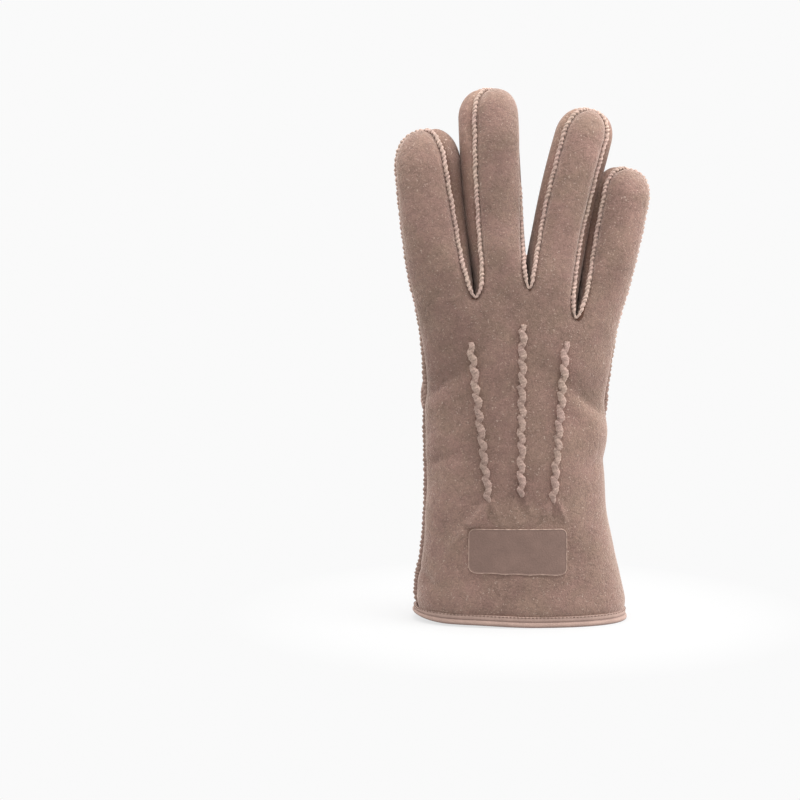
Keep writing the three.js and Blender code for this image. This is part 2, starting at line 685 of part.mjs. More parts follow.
addPart("back_panel", panelGeometry("back_panel"), SUEDE);
addPart("palm_panel", palmGeometry(), SUEDE);
addPart("fork_index_middle", panelGeometry("fork_index_middle"), SUEDE);
addPart("fork_middle_ring", panelGeometry("fork_middle_ring"), SUEDE);
addPart("fork_ring_little", panelGeometry("fork_ring_little"), SUEDE);
addPart("thumb", thumbGeometry(), SUEDE);
addPart("hem_binding", bindingGeometry(), BINDING_LEATHER);
POINTS.forEach((point) => addPart(`point_${point.name}`, pointGeometry(point), STITCHED_EDGE));
addPart("patch", patchGeometry(), PATCH_LEATHER);

export default glove;
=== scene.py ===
"""A suede dress glove for the right hand, hand-sewn, standing upright on its bound hem.

Shapes are worked out in millimetres and put into their meshes in metres. The back of the hand
faces -Y, the palm +Y, and the index finger is on the -X side.
"""

import math

import bpy
import numpy as np
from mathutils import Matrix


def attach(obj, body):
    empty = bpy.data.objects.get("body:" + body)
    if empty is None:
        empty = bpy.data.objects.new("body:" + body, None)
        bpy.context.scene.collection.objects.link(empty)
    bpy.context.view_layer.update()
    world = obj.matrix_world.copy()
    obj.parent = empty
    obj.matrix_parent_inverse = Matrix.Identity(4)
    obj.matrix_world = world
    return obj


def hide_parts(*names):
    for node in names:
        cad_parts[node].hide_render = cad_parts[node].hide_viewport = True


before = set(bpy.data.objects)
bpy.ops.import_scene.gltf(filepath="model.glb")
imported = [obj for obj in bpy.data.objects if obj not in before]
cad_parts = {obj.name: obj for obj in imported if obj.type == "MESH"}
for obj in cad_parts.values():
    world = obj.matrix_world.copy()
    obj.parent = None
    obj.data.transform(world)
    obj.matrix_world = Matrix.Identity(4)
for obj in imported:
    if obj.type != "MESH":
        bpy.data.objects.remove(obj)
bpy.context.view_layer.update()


# The back of the hand: one piece of suede with the backs of the four fingers, soft and a little
# thick, with the nap outside. It is sewn edge to edge to the palm and to the forked strips.

MM = 0.001
# The centre of the hem, from which the glove is drawn. The origin is below the middle of all of it.
HEM_CENTRE = np.array([-0.21, -9.76, 0.0])
# The leather's thickness, and the gap between pieces that lie on each other.
WALL = 2.0
GAP = 0.3
# The hand's section is a superellipse of this power. Its panels start at this height, in the binding.
SECTION_POWER = 2.4
PANEL_BOTTOM = 1.5

# The hand at some heights: where the side seams run, and how far back and palm stand out.
HAND_HEIGHT_LEFT_RIGHT_BACK_PALM = [
    (0, -47.9, 47.8, 24.2, 23.4),
    (9, -49.6, 48.8, 25.4, 24.2),
    (20, -48.9, 46.6, 25.0, 22.8),
    (30, -47.0, 44.4, 24.4, 21.2),
    (48, -45.4, 40.7, 23.4, 18.4),
    (62, -45.0, 38.7, 22.6, 19.6),
    (74, -45.1, 39.1, 22.0, 20.8),
    (90, -45.5, 39.9, 21.2, 21.4),
    (108, -45.4, 40.8, 20.6, 21.0),
    (130, -46.8, 43.8, 19.8, 19.4),
    (150, -50.2, 47.4, 19.0, 17.6),
    (165, -53.2, 50.6, 18.4, 17.0),
]

# Where the fingers part, with the outer edges of the hand at either end: sideways and height. Between
# back and palm, the leather sags there.
FORKS = {
    "back": [(-49.8, 147.0), (-21.9, 150.0), (2.4, 154.4), (23.8, 141.0), (45.4, 136.0)],
    "palm": [(-49.8, 147.0), (-20.8, 150.3), (3.6, 155.4), (26.0, 143.0), (45.4, 136.0)],
}
FORK_SAG = 1.5

# The fingers from index to little finger: base and tip in the front view, bow, curl, length of the
# rounded end, half widths and half depths, and each seam's angle on the finger at base and tip.
FINGERS = [
    {
        "base": (-36.3, 149.0), "tip": (-44.6, 226.4), "bow": -1.0, "curl": 7.0, "cap": 17.0,
        "width": (14.6, 14.9, 15.1), "depth": (13.6, 12.6, 11.8),
        "back": ((0, 0), (0.56, 1.12)), "palm": ((0, 0), (0.7, 1.1)),
    },
    {
        "base": (-9.4, 153.0), "tip": (-15.2, 245.1), "bow": -1.0, "curl": 9.0, "cap": 13.5,
        "width": (11.9, 13.3, 13.9), "depth": (13.6, 12.8, 12.0),
        "back": ((0.8, 1.06), (0.42, -0.1)), "palm": ((0.4, 0.45), (0.55, 0.72)),
    },
    {
        "base": (11.8, 149.0), "tip": (31.8, 235.6), "bow": -2.1, "curl": 9.0, "cap": 13.5,
        "width": (11.4, 12.4, 12.7), "depth": (13.2, 12.2, 11.4),
        "back": ((0.7, 0.75), (0.5, 0.5)), "palm": ((0.4, 0.4), (0.6, 0.75)),
    },
    {
        "base": (35.2, 138.5), "tip": (48.8, 208.8), "bow": 0.4, "curl": 7.0, "cap": 13.0,
        "width": (9.9, 11.7, 12.5), "depth": (12.6, 11.4, 10.6),
        "back": ((0.5, 0.7), (0, 0)), "palm": ((0.6, 0.8), (0, 0)),
    },
]
# Where their bases are between back and palm, their superellipse's power, and how round their ends are.
FINGER_BASE_Y = -1.5
FINGER_POWER = 2.2
TIP_POWER = 0.8
# Over these lengths above the knuckles, a finger takes on its own width, and its own depth.
SPREAD = 26.0
MORPH = 34.0

# The mesh: columns over each finger's strip, how much further apart they are by the crotches than in
# the middle of a strip, rows up the hand and up each finger, and how many more of them the rounded
# ends have for their length.
BACK_COLUMNS = (44, 28, 26, 33)
WIDEN = 0.06
HAND_ROWS = 176
FINGER_ROWS = 106
CAP_STRETCH = 1.45

# The leather dips into each seam: how deep, and how far from the seam, for each kind of seam. A side
# seam's dip is widest at the cuff and narrowest by the fingers, and changes between these heights.
FORK_SEAM_DIP = (1.7, 2.8)
LOW_SIDE_DIP, SIDE_DIP, HIGH_SIDE_DIP = (3.3, 5.6), (2.7, 4.8), (1.9, 3.0)
SIDE_DIP_WIDENS = (36.0, 64.0)
SIDE_DIP_NARROWS = (112.0, 146.0)
THUMB_SEAM_DIP = (1.7, 3.4)
# How far from a seam the leather is in its shade, and sinks the way that the seam faces.
SEAM_SHADE_REACH = 2.1
SEAM_LEAN_REACH = 2.6

# On the little finger's side, below the knuckles, the seam turns under and lies towards the palm. It is
# hidden there below the first height and shows above the second. By the middle fingertip the seams of
# the forks turn under as well, from this height up and between these places across it.
HIDDEN_SEAM_DIP = (2.7, 2.9)
PALMWARD, PALMWARD_LEAN = 2.4, 0.5
LITTLE_SIDE = (15.0, 25.0)
HIDDEN_BELOW, SHOWN_ABOVE = 84.0, 104.0
HIDDEN_TIP_HEIGHT = (196.0, 212.0)
HIDDEN_TIP_LEFT, HIDDEN_TIP_RIGHT = (-14.8, -11.0), (6.0, 10.0)

# How far the facing sides of two fingers bulge towards each other: finger, edge and bulge.
BULGES = {(0, "right"): 0.7, (1, "left"): 0.7, (2, "right"): 1.6, (3, "left"): 1.4}

# The leather isn't even: waves across it, each with its direction, length between crests and height.
UNDULATIONS = [
    (0.9, 0.2, 0.5, 31.0, 0.2),
    (-0.4, 0.3, 0.9, 23.0, 0.16),
    (0.6, -0.5, -0.8, 17.0, 0.11),
    (-0.9, 0.1, 0.35, 13.0, 0.08),
    (0.2, 0.4, 1.0, 41.0, 0.2),
]

# The hem lifts off the floor towards its corner by the index finger's seam, where its binding is also
# lower: how far, and from where to where on the way to that corner.
HEM_HEIGHT = 5.0
HEM_LIFT = 0.9
HEM_LIFTS_BETWEEN = (-6.0, 24.0)
CORNER_LIFT = 1.9
CORNER_START, CORNER_LENGTH = 33.0, 15.0
LIFT_HEIGHT = 34.0
LOWER_START, LOWER_LENGTH = 34.0, 13.0
LOWER_SHARE = 0.3
# The little finger's side is drawn in at the wrist.
WRIST_PINCH = 0.6
WRIST_HEIGHT = 73.5
WRIST_REACH = 6.0
WRIST_PINCHED_BETWEEN = (24.0, 40.0)

# How the leather swells above the binding and dips right at it, and the line of painted shade there:
# rise or depth of shade, height above the binding and reach.
HEM_SWELLS = [(0.2, 4.5, 3.5), (-0.25, 0.0, 0.9)]
HEM_SHADE_LINE = [(0.5, 0.1, 0.45)]

# The patch, under which the back lies smooth.
PATCH_LEFT, PATCH_RIGHT = -24.7, 20.2
PATCH_BOTTOM, PATCH_TOP = 25.2, 45.3


def unit(vectors):
    """Vectors of length one."""
    length = np.linalg.norm(vectors, axis=-1, keepdims=True)
    return vectors / np.maximum(length, 1e-9)


def lerp(first, last, share):
    return first + (last - first) * share


def smooth_step(value, start, end):
    s = np.clip((value - start) / (end - start), 0, 1)
    return s * s * (3 - 2 * s)


def bell(value, reach, centre=0.0):
    """A bell curve: 1 at its centre, and 1 / e at its reach from there."""
    return np.exp(-(((value - centre) / reach) ** 2))


def bells(value, rows):
    """A sum of bell curves, each with its height, centre and reach."""
    return sum(height * bell(value, reach, centre) for height, centre, reach in rows)


def signed_power(value, power):
    """A power that keeps the sign of its base, for superellipses."""
    return np.sign(value) * np.abs(value) ** power


def lengths_along(line):
    """How far each point of a line is from its start, along the line."""
    return np.concatenate([[0], np.cumsum(np.linalg.norm(np.diff(line, axis=0), axis=1))])


def values_at(places, values, at):
    """Values given at some places along a line, at any others, with straight lines between them."""
    return np.stack([np.interp(at, places, column) for column in values.T], axis=-1)


def waves(place, *rows):
    """A sum of sine waves along a line, each with its height, pace and start."""
    return sum(height * np.sin(pace * place + start) for height, pace, start in rows)


def cubic_through(rows, place):
    """A table's values at any place in its first column.

    Between two rows runs a Hermite cubic, whose slope at a row is that from the row before it
    to the row after it.
    """
    rows = np.asarray(rows, float)
    place = np.asarray(place, float)
    places = rows[:, 0]
    values = rows[:, 1:]
    slopes = np.empty_like(values)
    slopes[1:-1] = (values[2:] - values[:-2]) / (places[2:] - places[:-2])[:, None]
    slopes[0] = (values[1] - values[0]) / (places[1] - places[0])
    slopes[-1] = (values[-1] - values[-2]) / (places[-1] - places[-2])
    i = np.clip(np.searchsorted(places, place, side="right") - 1, 0, len(places) - 2)
    span = (places[i + 1] - places[i])[..., None]
    s = (place - places[i])[..., None] / span
    p, q = values[i], values[i + 1]
    m, n = slopes[i] * span, slopes[i + 1] * span
    return (2 * p - 2 * q + m + n) * s**3 + (3 * q - 3 * p - 2 * m - n) * s**2 + m * s + p


def hand_section(z):
    """Centre, half width, and how far back and palm stand out, at height z."""
    table = cubic_through(HAND_HEIGHT_LEFT_RIGHT_BACK_PALM, z)
    left, right, back, palm = np.moveaxis(table, -1, 0)
    return (left + right) / 2, (right - left) / 2, back, palm


def hand_point(side, angle, z):
    """A point of the hand: a superellipse round the section at height z.

    The angle runs from the index side, 0, to the little finger's side, pi.
    """
    centre, half, back, palm = hand_section(z)
    x = centre - half * signed_power(np.cos(angle), 2 / SECTION_POWER)
    out = signed_power(np.sin(angle), 2 / SECTION_POWER)
    y = -back * out if side == "back" else palm * out
    return np.stack(np.broadcast_arrays(x, y, z), axis=-1).astype(float)


def hand_angle(x, z):
    """The angle at which the hand's section has a given x."""
    centre, half, _, _ = hand_section(z)
    return np.arccos(np.clip(signed_power((centre - x) / half, SECTION_POWER / 2), -1, 1))


def over_hand(side, x, z):
    """The point of the back or palm at x and z in the front view."""
    return hand_point(side, hand_angle(x, z), z)


def along_finger(values, share):
    """A value given at the base, middle and end of a finger, by a parabola through the three."""
    s = np.clip(share, 0, 1)
    base, middle, end = values
    return base * (1 - s) * (1 - 2 * s) + middle * 4 * s * (1 - s) + end * s * (2 * s - 1)


def finger_axis(finger):
    """A finger's base point, its direction, its sideways direction and its length."""
    base = np.array([finger["base"][0], FINGER_BASE_Y, finger["base"][1]])
    tip = np.array([finger["tip"][0], FINGER_BASE_Y, finger["tip"][1]])
    length = np.linalg.norm(tip - base)
    axis = (tip - base) / length
    return base, axis, np.array([axis[2], 0, -axis[0]]), length


def finger_at(finger, rise):
    """A finger's section at a rise from 0, its base, to 1, its tip.

    The last stretch is the rounded end, on which the section shrinks by a power of the cosine
    while the distance along the axis grows by the sine.
    """
    base, axis, across, length = finger_axis(finger)
    straight = length - finger["cap"]
    bend = straight / (straight + finger["cap"] * CAP_STRETCH)
    turn = np.clip((rise - bend) / (1 - bend), 0, 1) * np.pi / 2
    along = np.where(rise < bend, straight * rise / bend, straight + finger["cap"] * np.sin(turn))
    shrink = np.abs(np.cos(turn)) ** TIP_POWER
    share = along / length
    centre = base + along[..., None] * axis
    centre = centre + (finger["bow"] * 4 * share * (1 - share))[..., None] * across
    centre[..., 1] += finger["curl"] * share**2
    return {
        "axis": axis,
        "across": across,
        "along": along,
        "share": share,
        "centre": centre,
        "half_width": along_finger(finger["width"], along / straight) * shrink,
        "half_depth": along_finger(finger["depth"], along / straight) * shrink,
        "spread": 1 - (1 - np.minimum(along / SPREAD, 1)) ** 4,
        "blend": smooth_step(along, 0, MORPH),
    }


def section_point(at, side, angle):
    """A point of a finger's section, a superellipse; the angle starts at its left side."""
    sideways = -at["half_width"] * signed_power(np.cos(angle), 2 / FINGER_POWER)
    out = at["half_depth"] * signed_power(np.sin(angle), 2 / FINGER_POWER)
    point = at["centre"] + sideways[..., None] * at["across"]
    point[..., 1] += -out if side == "back" else out
    return point


def carry_up(point, at, target):
    """Carries a point of the knuckles up a finger, where it spreads into the finger's section."""
    carried = point + at["along"][..., None] * at["axis"]
    shares = np.stack([at["spread"], at["blend"], at["blend"]], axis=-1)
    return lerp(carried, target, shares)


def strip_point(side, strip, even, rise):
    """A point of the back or palm over one finger's strip.

    Even is the share across the strip. Rise goes from 0 at the hem to 1 at the knuckles, and
    from there to 2 at the fingertip.
    """
    (first_x, first_z), (last_x, last_z) = FORKS[side][strip], FORKS[side][strip + 1]
    on_hand = np.minimum(rise, 1.0)
    share = even + WIDEN * smooth_step(on_hand, 0.5, 1) * np.sin(2 * np.pi * even)
    angle = lerp(hand_angle(first_x, first_z), hand_angle(last_x, last_z), share)
    z = lerp(PANEL_BOTTOM, lerp(first_z, last_z, share), on_hand)
    hand = hand_point(side, angle, z)
    finger = FINGERS[strip]
    at = finger_at(finger, np.maximum(rise - 1.0, 0.0) + 0.0 * share)
    left, right = finger[side]
    turn = lerp(lerp(*left, at["share"]), np.pi - lerp(*right, at["share"]), share)
    return carry_up(hand, at, section_point(at, side, turn))


def side_point(strip, edge, share, rise):
    """A point of a finger's side wall, from its back seam, share 0, to its palm seam, share 1."""
    fork = strip if edge == "left" else strip + 1
    back = over_hand("back", *FORKS["back"][fork])
    palm = over_hand("palm", *FORKS["palm"][fork])
    share = share + 0.0 * rise
    web = lerp(back, palm, share[..., None])
    web[..., 2] -= FORK_SAG * np.sin(np.pi * share)
    finger = FINGERS[strip]
    at = finger_at(finger, rise - 1.0 + 0.0 * share)
    end = 0 if edge == "left" else 1
    to_back = lerp(*finger["back"][end], at["share"])
    to_palm = lerp(*finger["palm"][end], at["share"])
    turn = lerp(to_back, -to_palm, share)
    point = carry_up(web, at, section_point(at, "back", turn if edge == "left" else np.pi - turn))
    bulge = BULGES.get((strip, edge), 0.0) * np.sin(np.pi * share) * np.sin(np.pi * at["share"]) ** 0.5
    return point + (bulge * (-1 if edge == "left" else 1))[..., None] * at["across"]


def inside_point(strip, rise):
    """The middle of the hand or of a finger, level with a rise."""
    on_hand = np.minimum(rise, 1.0)
    z = lerp(PANEL_BOTTOM, FORKS["back"][strip][1], on_hand)
    middle = np.stack([hand_section(z)[0], 0 * z, z], axis=-1)
    finger = finger_at(FINGERS[strip], np.maximum(rise - 1, 0))["centre"]
    return np.where((rise <= 1)[..., None], middle, finger)


# Seams are made of paths: points in even steps, with the direction that the seam faces at each, which
# comes from how its panels lie a small inset from their edges. Every panel needs them to dip towards
# its edges, so they are worked out here.
SEAM_STEP = 0.2
INSET = 0.03
RISES_TO_TIP = np.concatenate([np.linspace(1, 1.2, 60), np.linspace(1.21, 1.985, 160)])


def even_steps(points, facing, step):
    """A path laid out again in even steps of its length."""
    length = lengths_along(points)
    count = max(int(round(length[-1] / step)), 2)
    at = np.linspace(0, length[-1], count + 1)
    return values_at(length, points, at), unit(values_at(length, facing, at))


def rounded(path, reach):
    """A path with its sharp turns rounded: twice, each point becomes the mean of its neighbours."""
    for _ in range(2):
        padded = np.pad(path, ((reach, reach), (0, 0)), mode="reflect", reflect_type="odd")
        total = np.cumsum(np.pad(padded, ((1, 0), (0, 0))), axis=0)
        path = (total[2 * reach + 1:] - total[:-2 * reach - 1]) / (2 * reach + 1)
    return path


def seam_branch(first, second, inside, rises, tip):
    """One stretch of a seam, up to a fingertip, between two panels given as functions.

    The seam faces where both panels do: the sum of their outward directions, each square to
    the seam's direction and to the panel's own direction inwards.
    """
    line = first(0.0, rises)
    along = unit(np.gradient(line, axis=0))
    facing = np.zeros_like(line)
    for panel in (first, second):
        outward = unit(np.cross(along, panel(INSET, rises) - line))
        facing += outward * np.sign(np.sum(outward * (line - inside), axis=1))[:, None]
    line = np.concatenate([line, [tip["centre"]]])
    return line, unit(np.concatenate([facing, [tip["facing"]]]))


def fingertip(strip):
    """The very end of a finger, and the direction that it faces."""
    finger = FINGERS[strip]
    _, axis, _, length = finger_axis(finger)
    facing = unit(axis + np.array([0, 2 * finger["curl"] / length, 0]))
    return {"centre": finger_at(finger, np.array(1.0))["centre"], "facing": facing}


def on_strip(side, strip, at_end):
    """The edge of a finger's strip of the back or palm, as a function of inset and rise."""
    def edge_point(inset, rises):
        return strip_point(side, strip, np.full(rises.shape, abs(at_end - inset)), rises)
    return edge_point


def on_wall(side, strip, edge):
    """The edge of a finger's side wall by the back or palm, as a function of inset and rise."""
    start = 0.0 if side == "back" else 1.0

    def edge_point(inset, rises):
        return side_point(strip, edge, np.full(rises.shape, abs(start - inset)), rises)
    return edge_point


def turned_under(line):
    """How far a seam lies hidden: 1 low on the little finger's side and by the middle fingertip."""
    x, z = line[:, 0], line[:, 2]
    low = smooth_step(x, *LITTLE_SIDE) * (1 - smooth_step(z, HIDDEN_BELOW, SHOWN_ABOVE))
    high = smooth_step(z, *HIDDEN_TIP_HEIGHT) * smooth_step(x, *HIDDEN_TIP_LEFT)
    return low + high * (1 - smooth_step(x, *HIDDEN_TIP_RIGHT))


def side_seam(strip, at_end):
    """The seam from the hem up the side of the hand and over the tip of the outer finger.

    Where it is turned under, it lies towards the palm.
    """
    rises = np.concatenate([np.linspace(0.02, 1, 300)[:-1], RISES_TO_TIP])
    line, facing = seam_branch(
        on_strip("back", strip, at_end), on_strip("palm", strip, at_end),
        inside_point(strip, rises), rises, fingertip(strip),
    )
    line, facing = rounded(line, 2), rounded(facing, 8)
    if strip == 3:
        to_palm = turned_under(line)[:, None] * np.array([0, 1, 0])
        line = line + PALMWARD * to_palm
        facing = unit(facing + PALMWARD_LEAN * to_palm)
    return even_steps(line, facing, SEAM_STEP)


def fork_seam(side, strip):
    """The seam from one fingertip down to the crotch and up to the next fingertip."""
    branches = []
    # A hair above the knuckles, so that the middle is that of the finger and not of the hand.
    inside_rises = RISES_TO_TIP + 1e-6
    for finger, at_end, edge in ((strip, 1.0, "right"), (strip + 1, 0.0, "left")):
        branches.append(seam_branch(
            on_strip(side, finger, at_end), on_wall(side, finger, edge),
            inside_point(finger, inside_rises), RISES_TO_TIP, fingertip(finger),
        ))
    (down, down_facing), (up, up_facing) = branches
    line = np.concatenate([down[:0:-1], up])
    facing = np.concatenate([down_facing[:0:-1], up_facing])
    line, facing = even_steps(line, facing, SEAM_STEP)
    return rounded(line, 4), unit(rounded(facing, 12))


SEAMS = {"side_seam_index": side_seam(0, 0.0), "side_seam_little": side_seam(3, 1.0)}
FORK_NAMES = ("index_middle", "middle_ring", "ring_little")
for fork_number, fork_name in enumerate(FORK_NAMES):
    for seam_side in ("back", "palm"):
        SEAMS[f"{seam_side}_seam_{fork_name}"] = fork_seam(seam_side, fork_number)


def nearest(points, line):
    """The distance from each point to the nearest point of a line, and which point that is.

    Points are taken in blocks, since all the distances at once would fill the memory.
    """
    distance = np.empty(len(points))
    index = np.empty(len(points), int)
    block = 4096
    squares = np.sum(line**2, axis=1)
    for start in range(0, len(points), block):
        part = points[start:start + block]
        square = np.sum(part**2, axis=1)[:, None] + squares - 2 * part @ line.T
        index[start:start + block] = np.argmin(square, axis=1)
        distance[start:start + block] = np.sqrt(np.maximum(square.min(axis=1), 0))
    return distance, index


def side_dip(line):
    """How deep and how far the leather dips by a side seam: less by the fingers than at the cuff."""
    high = smooth_step(line[:, 2], *SIDE_DIP_NARROWS)[:, None]
    middle = smooth_step(line[:, 2], *SIDE_DIP_WIDENS)[:, None]
    shown = lerp(np.array(LOW_SIDE_DIP), np.array(SIDE_DIP), middle)
    shown = lerp(shown, np.array(HIGH_SIDE_DIP), high)
    return lerp(shown, np.array(HIDDEN_SEAM_DIP), turned_under(line)[:, None])


def sewn_down(points, facing, *kinds):
    """The leather near its seams, sunk towards them by a bell curve of the distance.

    Each kind is a list of seams with their dip and its reach, or a function that gives both
    along a seam. Where the dips of two kinds meet, they join as the fourth root of the sum of
    their fourth powers. The leather sinks along the nearest seam's direction. Gives the moved
    points and how deep in a seam each is, 0 to 1.
    """
    total = np.zeros(len(points))
    closest = np.full(len(points), np.inf)
    direction = facing.copy()
    for seams, dips in kinds:
        line = np.concatenate([path for path, _ in seams])
        line_facing = np.concatenate([way for _, way in seams])
        distance, index = nearest(points, line)
        dip, reach = dips(line)[index].T if callable(dips) else dips
        total += (dip * bell(distance, reach)) ** 4
        lean = bell(distance, SEAM_LEAN_REACH)[:, None]
        leaning = unit(facing * (1 - lean) + line_facing[index] * lean)
        direction = np.where((distance < closest)[:, None], leaning, direction)
        closest = np.minimum(closest, distance)
    sunk = points - direction * (total ** 0.25)[:, None]
    return sunk, bell(closest, SEAM_SHADE_REACH)


def hem_top(x):
    """The height of the hem binding's upper edge: lower at its corner by the index finger's seam."""
    return HEM_HEIGHT * (1 - LOWER_SHARE * np.clip((-x - LOWER_START) / LOWER_LENGTH, 0, 1) ** 2)


def above_hem(points):
    """How the leather swells over the hem binding, and how deep the painted shade in the line between
    them is.
    """
    above = points[:, 2] - hem_top(points[:, 0])
    return bells(above, HEM_SWELLS), bells(above, HEM_SHADE_LINE)


def undulations(points):
    """How far the leather's unevenness lifts it: a sum of sine waves across it."""
    lift = np.zeros(len(points))
    for x, y, z, length, height in UNDULATIONS:
        way = np.array([x, y, z]) / math.sqrt(x * x + y * y + z * z)
        lift += height * np.sin(2 * np.pi * (points @ way) / length + length)
    return lift


def settled(points):
    """Points of the whole glove as it stands: one end of the hem lifted, the wrist drawn in.

    The lift grows as a square towards the corner, and dies away up the cuff. The wrist is
    drawn in by a bell curve of the height.
    """
    x, z = points[..., 0], points[..., 2]
    moved = points.copy()
    lift = CORNER_LIFT * np.clip((-x - CORNER_START) / CORNER_LENGTH, 0, 1.1) ** 2
    lift += HEM_LIFT * smooth_step(-x, *HEM_LIFTS_BETWEEN)
    lift *= 1 - smooth_step(z, 0, LIFT_HEIGHT)
    pinch = WRIST_PINCH * bell(z, WRIST_REACH, WRIST_HEIGHT) * smooth_step(x, *WRIST_PINCHED_BETWEEN)
    moved[..., 2] += lift
    moved[..., 0] -= pinch
    return moved


def outward(grid, flipped):
    """The directions that a grid of points faces: its step across it, crossed with that up it."""
    direction = unit(np.cross(np.gradient(grid, axis=1), np.gradient(grid, axis=0)))
    return -direction if flipped else direction


def grid_faces(ids, flipped):
    """The quads between the rows and columns of a grid of vertex numbers."""
    quads = np.stack([ids[:-1, :-1], ids[:-1, 1:], ids[1:, 1:], ids[1:, :-1]], axis=-1).reshape(-1, 4)
    return quads[:, ::-1] if flipped else quads


def round_faces(ids, flipped):
    """The quads of a grid that runs round, so that its last column meets its first."""
    return grid_faces(np.concatenate([ids, ids[:, :1]], axis=1), flipped)


def new_piece(name, points, faces, material, replaces=(), masks=None):
    """Puts points in millimetres and faces into a smooth mesh that rides on the glove.

    A face whose corners meet is left out or becomes a triangle. Masks are named values at
    the points, which materials read as attributes.
    """
    faces = np.asarray(faces)
    doubled = (faces == np.roll(faces, -1, axis=1)).sum(axis=1)
    whole = faces[doubled == 0].tolist()
    for face in faces[doubled == 1].tolist():
        whole.append([corner for k, corner in enumerate(face) if corner != face[(k + 1) % len(face)]])
    mesh = bpy.data.meshes.new(name)
    mesh.from_pydata((settled(points) + HEM_CENTRE) * MM, [], whole)
    mesh.polygons.foreach_set("use_smooth", np.ones(len(mesh.polygons), bool))
    for mask, values in (masks or {}).items():
        mesh.attributes.new(mask, "FLOAT", "POINT").data.foreach_set("value", values.astype(np.float32))
    mesh.update()
    piece = bpy.data.objects.new(name, mesh)
    bpy.context.scene.collection.objects.link(piece)
    mesh.materials.append(material)
    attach(piece, "root")
    if replaces:
        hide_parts(*replaces)
    return piece


def thicken(piece, thickness=WALL):
    """Gives a skin the leather's thickness on its inside."""
    wall = piece.modifiers.new("leather thickness", "SOLIDIFY")
    wall.thickness = thickness * MM
    wall.offset = -1


def add_node(tree, kind, inputs=None, **settings):
    """Adds a shader node with its settings, and sets the values of its named inputs."""
    node = tree.nodes.new(kind)
    for name, value in settings.items():
        setattr(node, name, value)
    for name, value in (inputs or {}).items():
        node.inputs[name].default_value = value
    return node


def feed(tree, sockets, values):
    """Gives each of a node's inputs a value, or links it to the output of another node."""
    for socket, value in zip(sockets, values):
        if isinstance(value, bpy.types.NodeSocket):
            tree.links.new(value, socket)
        else:
            socket.default_value = value


def add_mix(tree, first, second, factor, blend_type="MIX"):
    """Adds a mix of two colours. Each of the three is a value or the output of another node."""
    node = add_node(tree, "ShaderNodeMix", data_type="RGBA", blend_type=blend_type)
    feed(tree, (node.inputs[0], node.inputs[6], node.inputs[7]), (factor, first, second))
    return node.outputs[2]


def add_math(tree, operation, *values):
    """Adds a sum on numbers or on other nodes' outputs."""
    node = add_node(tree, "ShaderNodeMath", operation=operation)
    feed(tree, node.inputs, values)
    return node.outputs[0]


def add_noise(tree, place, scale, detail, roughness, distortion=0.0):
    """Adds a noise on a place, with its scale in cells per metre."""
    inputs = {"Scale": scale, "Detail": detail, "Roughness": roughness, "Distortion": distortion}
    node = add_node(tree, "ShaderNodeTexNoise", inputs)
    tree.links.new(place, node.inputs["Vector"])
    return node.outputs["Fac"]


def add_range(tree, value, low, high, to_low=0.0, to_high=1.0):
    """Stretches the values from low to high over another range, and clips the rest."""
    inputs = {"From Min": low, "From Max": high, "To Min": to_low, "To Max": to_high}
    node = add_node(tree, "ShaderNodeMapRange", inputs)
    tree.links.new(value, node.inputs["Value"])
    return node.outputs["Result"]


def shade(colour, factor):
    """A colour made lighter or darker, for a shader."""
    return tuple(min(channel * factor, 1.0) for channel in colour) + (1.0,)


def make_nap():
    """The suede's nap: tonal patches, a curly mottle of short strokes, light specks and their bumps.

    Patches shift a little in hue as well, from pink to olive. The strokes come from a noise
    that is strongly distorted.
    """
    group = bpy.data.node_groups.new("nap", "ShaderNodeTree")
    for name, kind in (("Dark", "NodeSocketColor"), ("Light", "NodeSocketColor"),
                       ("Patches", "NodeSocketFloat"), ("Depth", "NodeSocketFloat")):
        group.interface.new_socket(name, in_out="INPUT", socket_type=kind)
    for name, kind in (("Color", "NodeSocketColor"), ("Roughness", "NodeSocketFloat"),
                       ("Normal", "NodeSocketVector")):
        group.interface.new_socket(name, in_out="OUTPUT", socket_type=kind)
    given = add_node(group, "NodeGroupInput")
    made = add_node(group, "NodeGroupOutput")
    place = add_node(group, "ShaderNodeTexCoord").outputs["Object"]

    noises = {
        name: add_range(group, add_noise(group, place, *noise), *stretch)
        for name, (noise, stretch) in NAP_NOISES.items()
    }
    tone = add_math(group, "MULTIPLY", noises["patches"], given.outputs["Patches"])
    height = add_math(group, "MULTIPLY", noises["patches"], PATCHES_RISE)
    for name, (light, rise) in NAP_SHARES.items():
        tone = add_math(group, "MULTIPLY_ADD", noises[name], light, tone)
        height = add_math(group, "MULTIPLY_ADD", noises[name], rise, height)

    colour = add_mix(group, given.outputs["Dark"], given.outputs["Light"], tone)
    tint = add_mix(group, PINK_TINT, OLIVE_TINT, noises["hues"])
    colour = add_mix(group, colour, tint, 1.0, "MULTIPLY")
    speck_share = add_math(group, "MULTIPLY", noises["specks"], SPECK_STRENGTH)
    colour = add_mix(group, colour, SPECK_COLOUR, speck_share)
    group.links.new(colour, made.inputs["Color"])
    group.links.new(add_range(group, noises["strokes"], 0, 1, 0.86, 0.98), made.inputs["Roughness"])

    bump = add_node(group, "ShaderNodeBump", {"Strength": 1.0})
    group.links.new(given.outputs["Depth"], bump.inputs["Distance"])
    group.links.new(height, bump.inputs["Height"])
    group.links.new(bump.outputs["Normal"], made.inputs["Normal"])
    return group


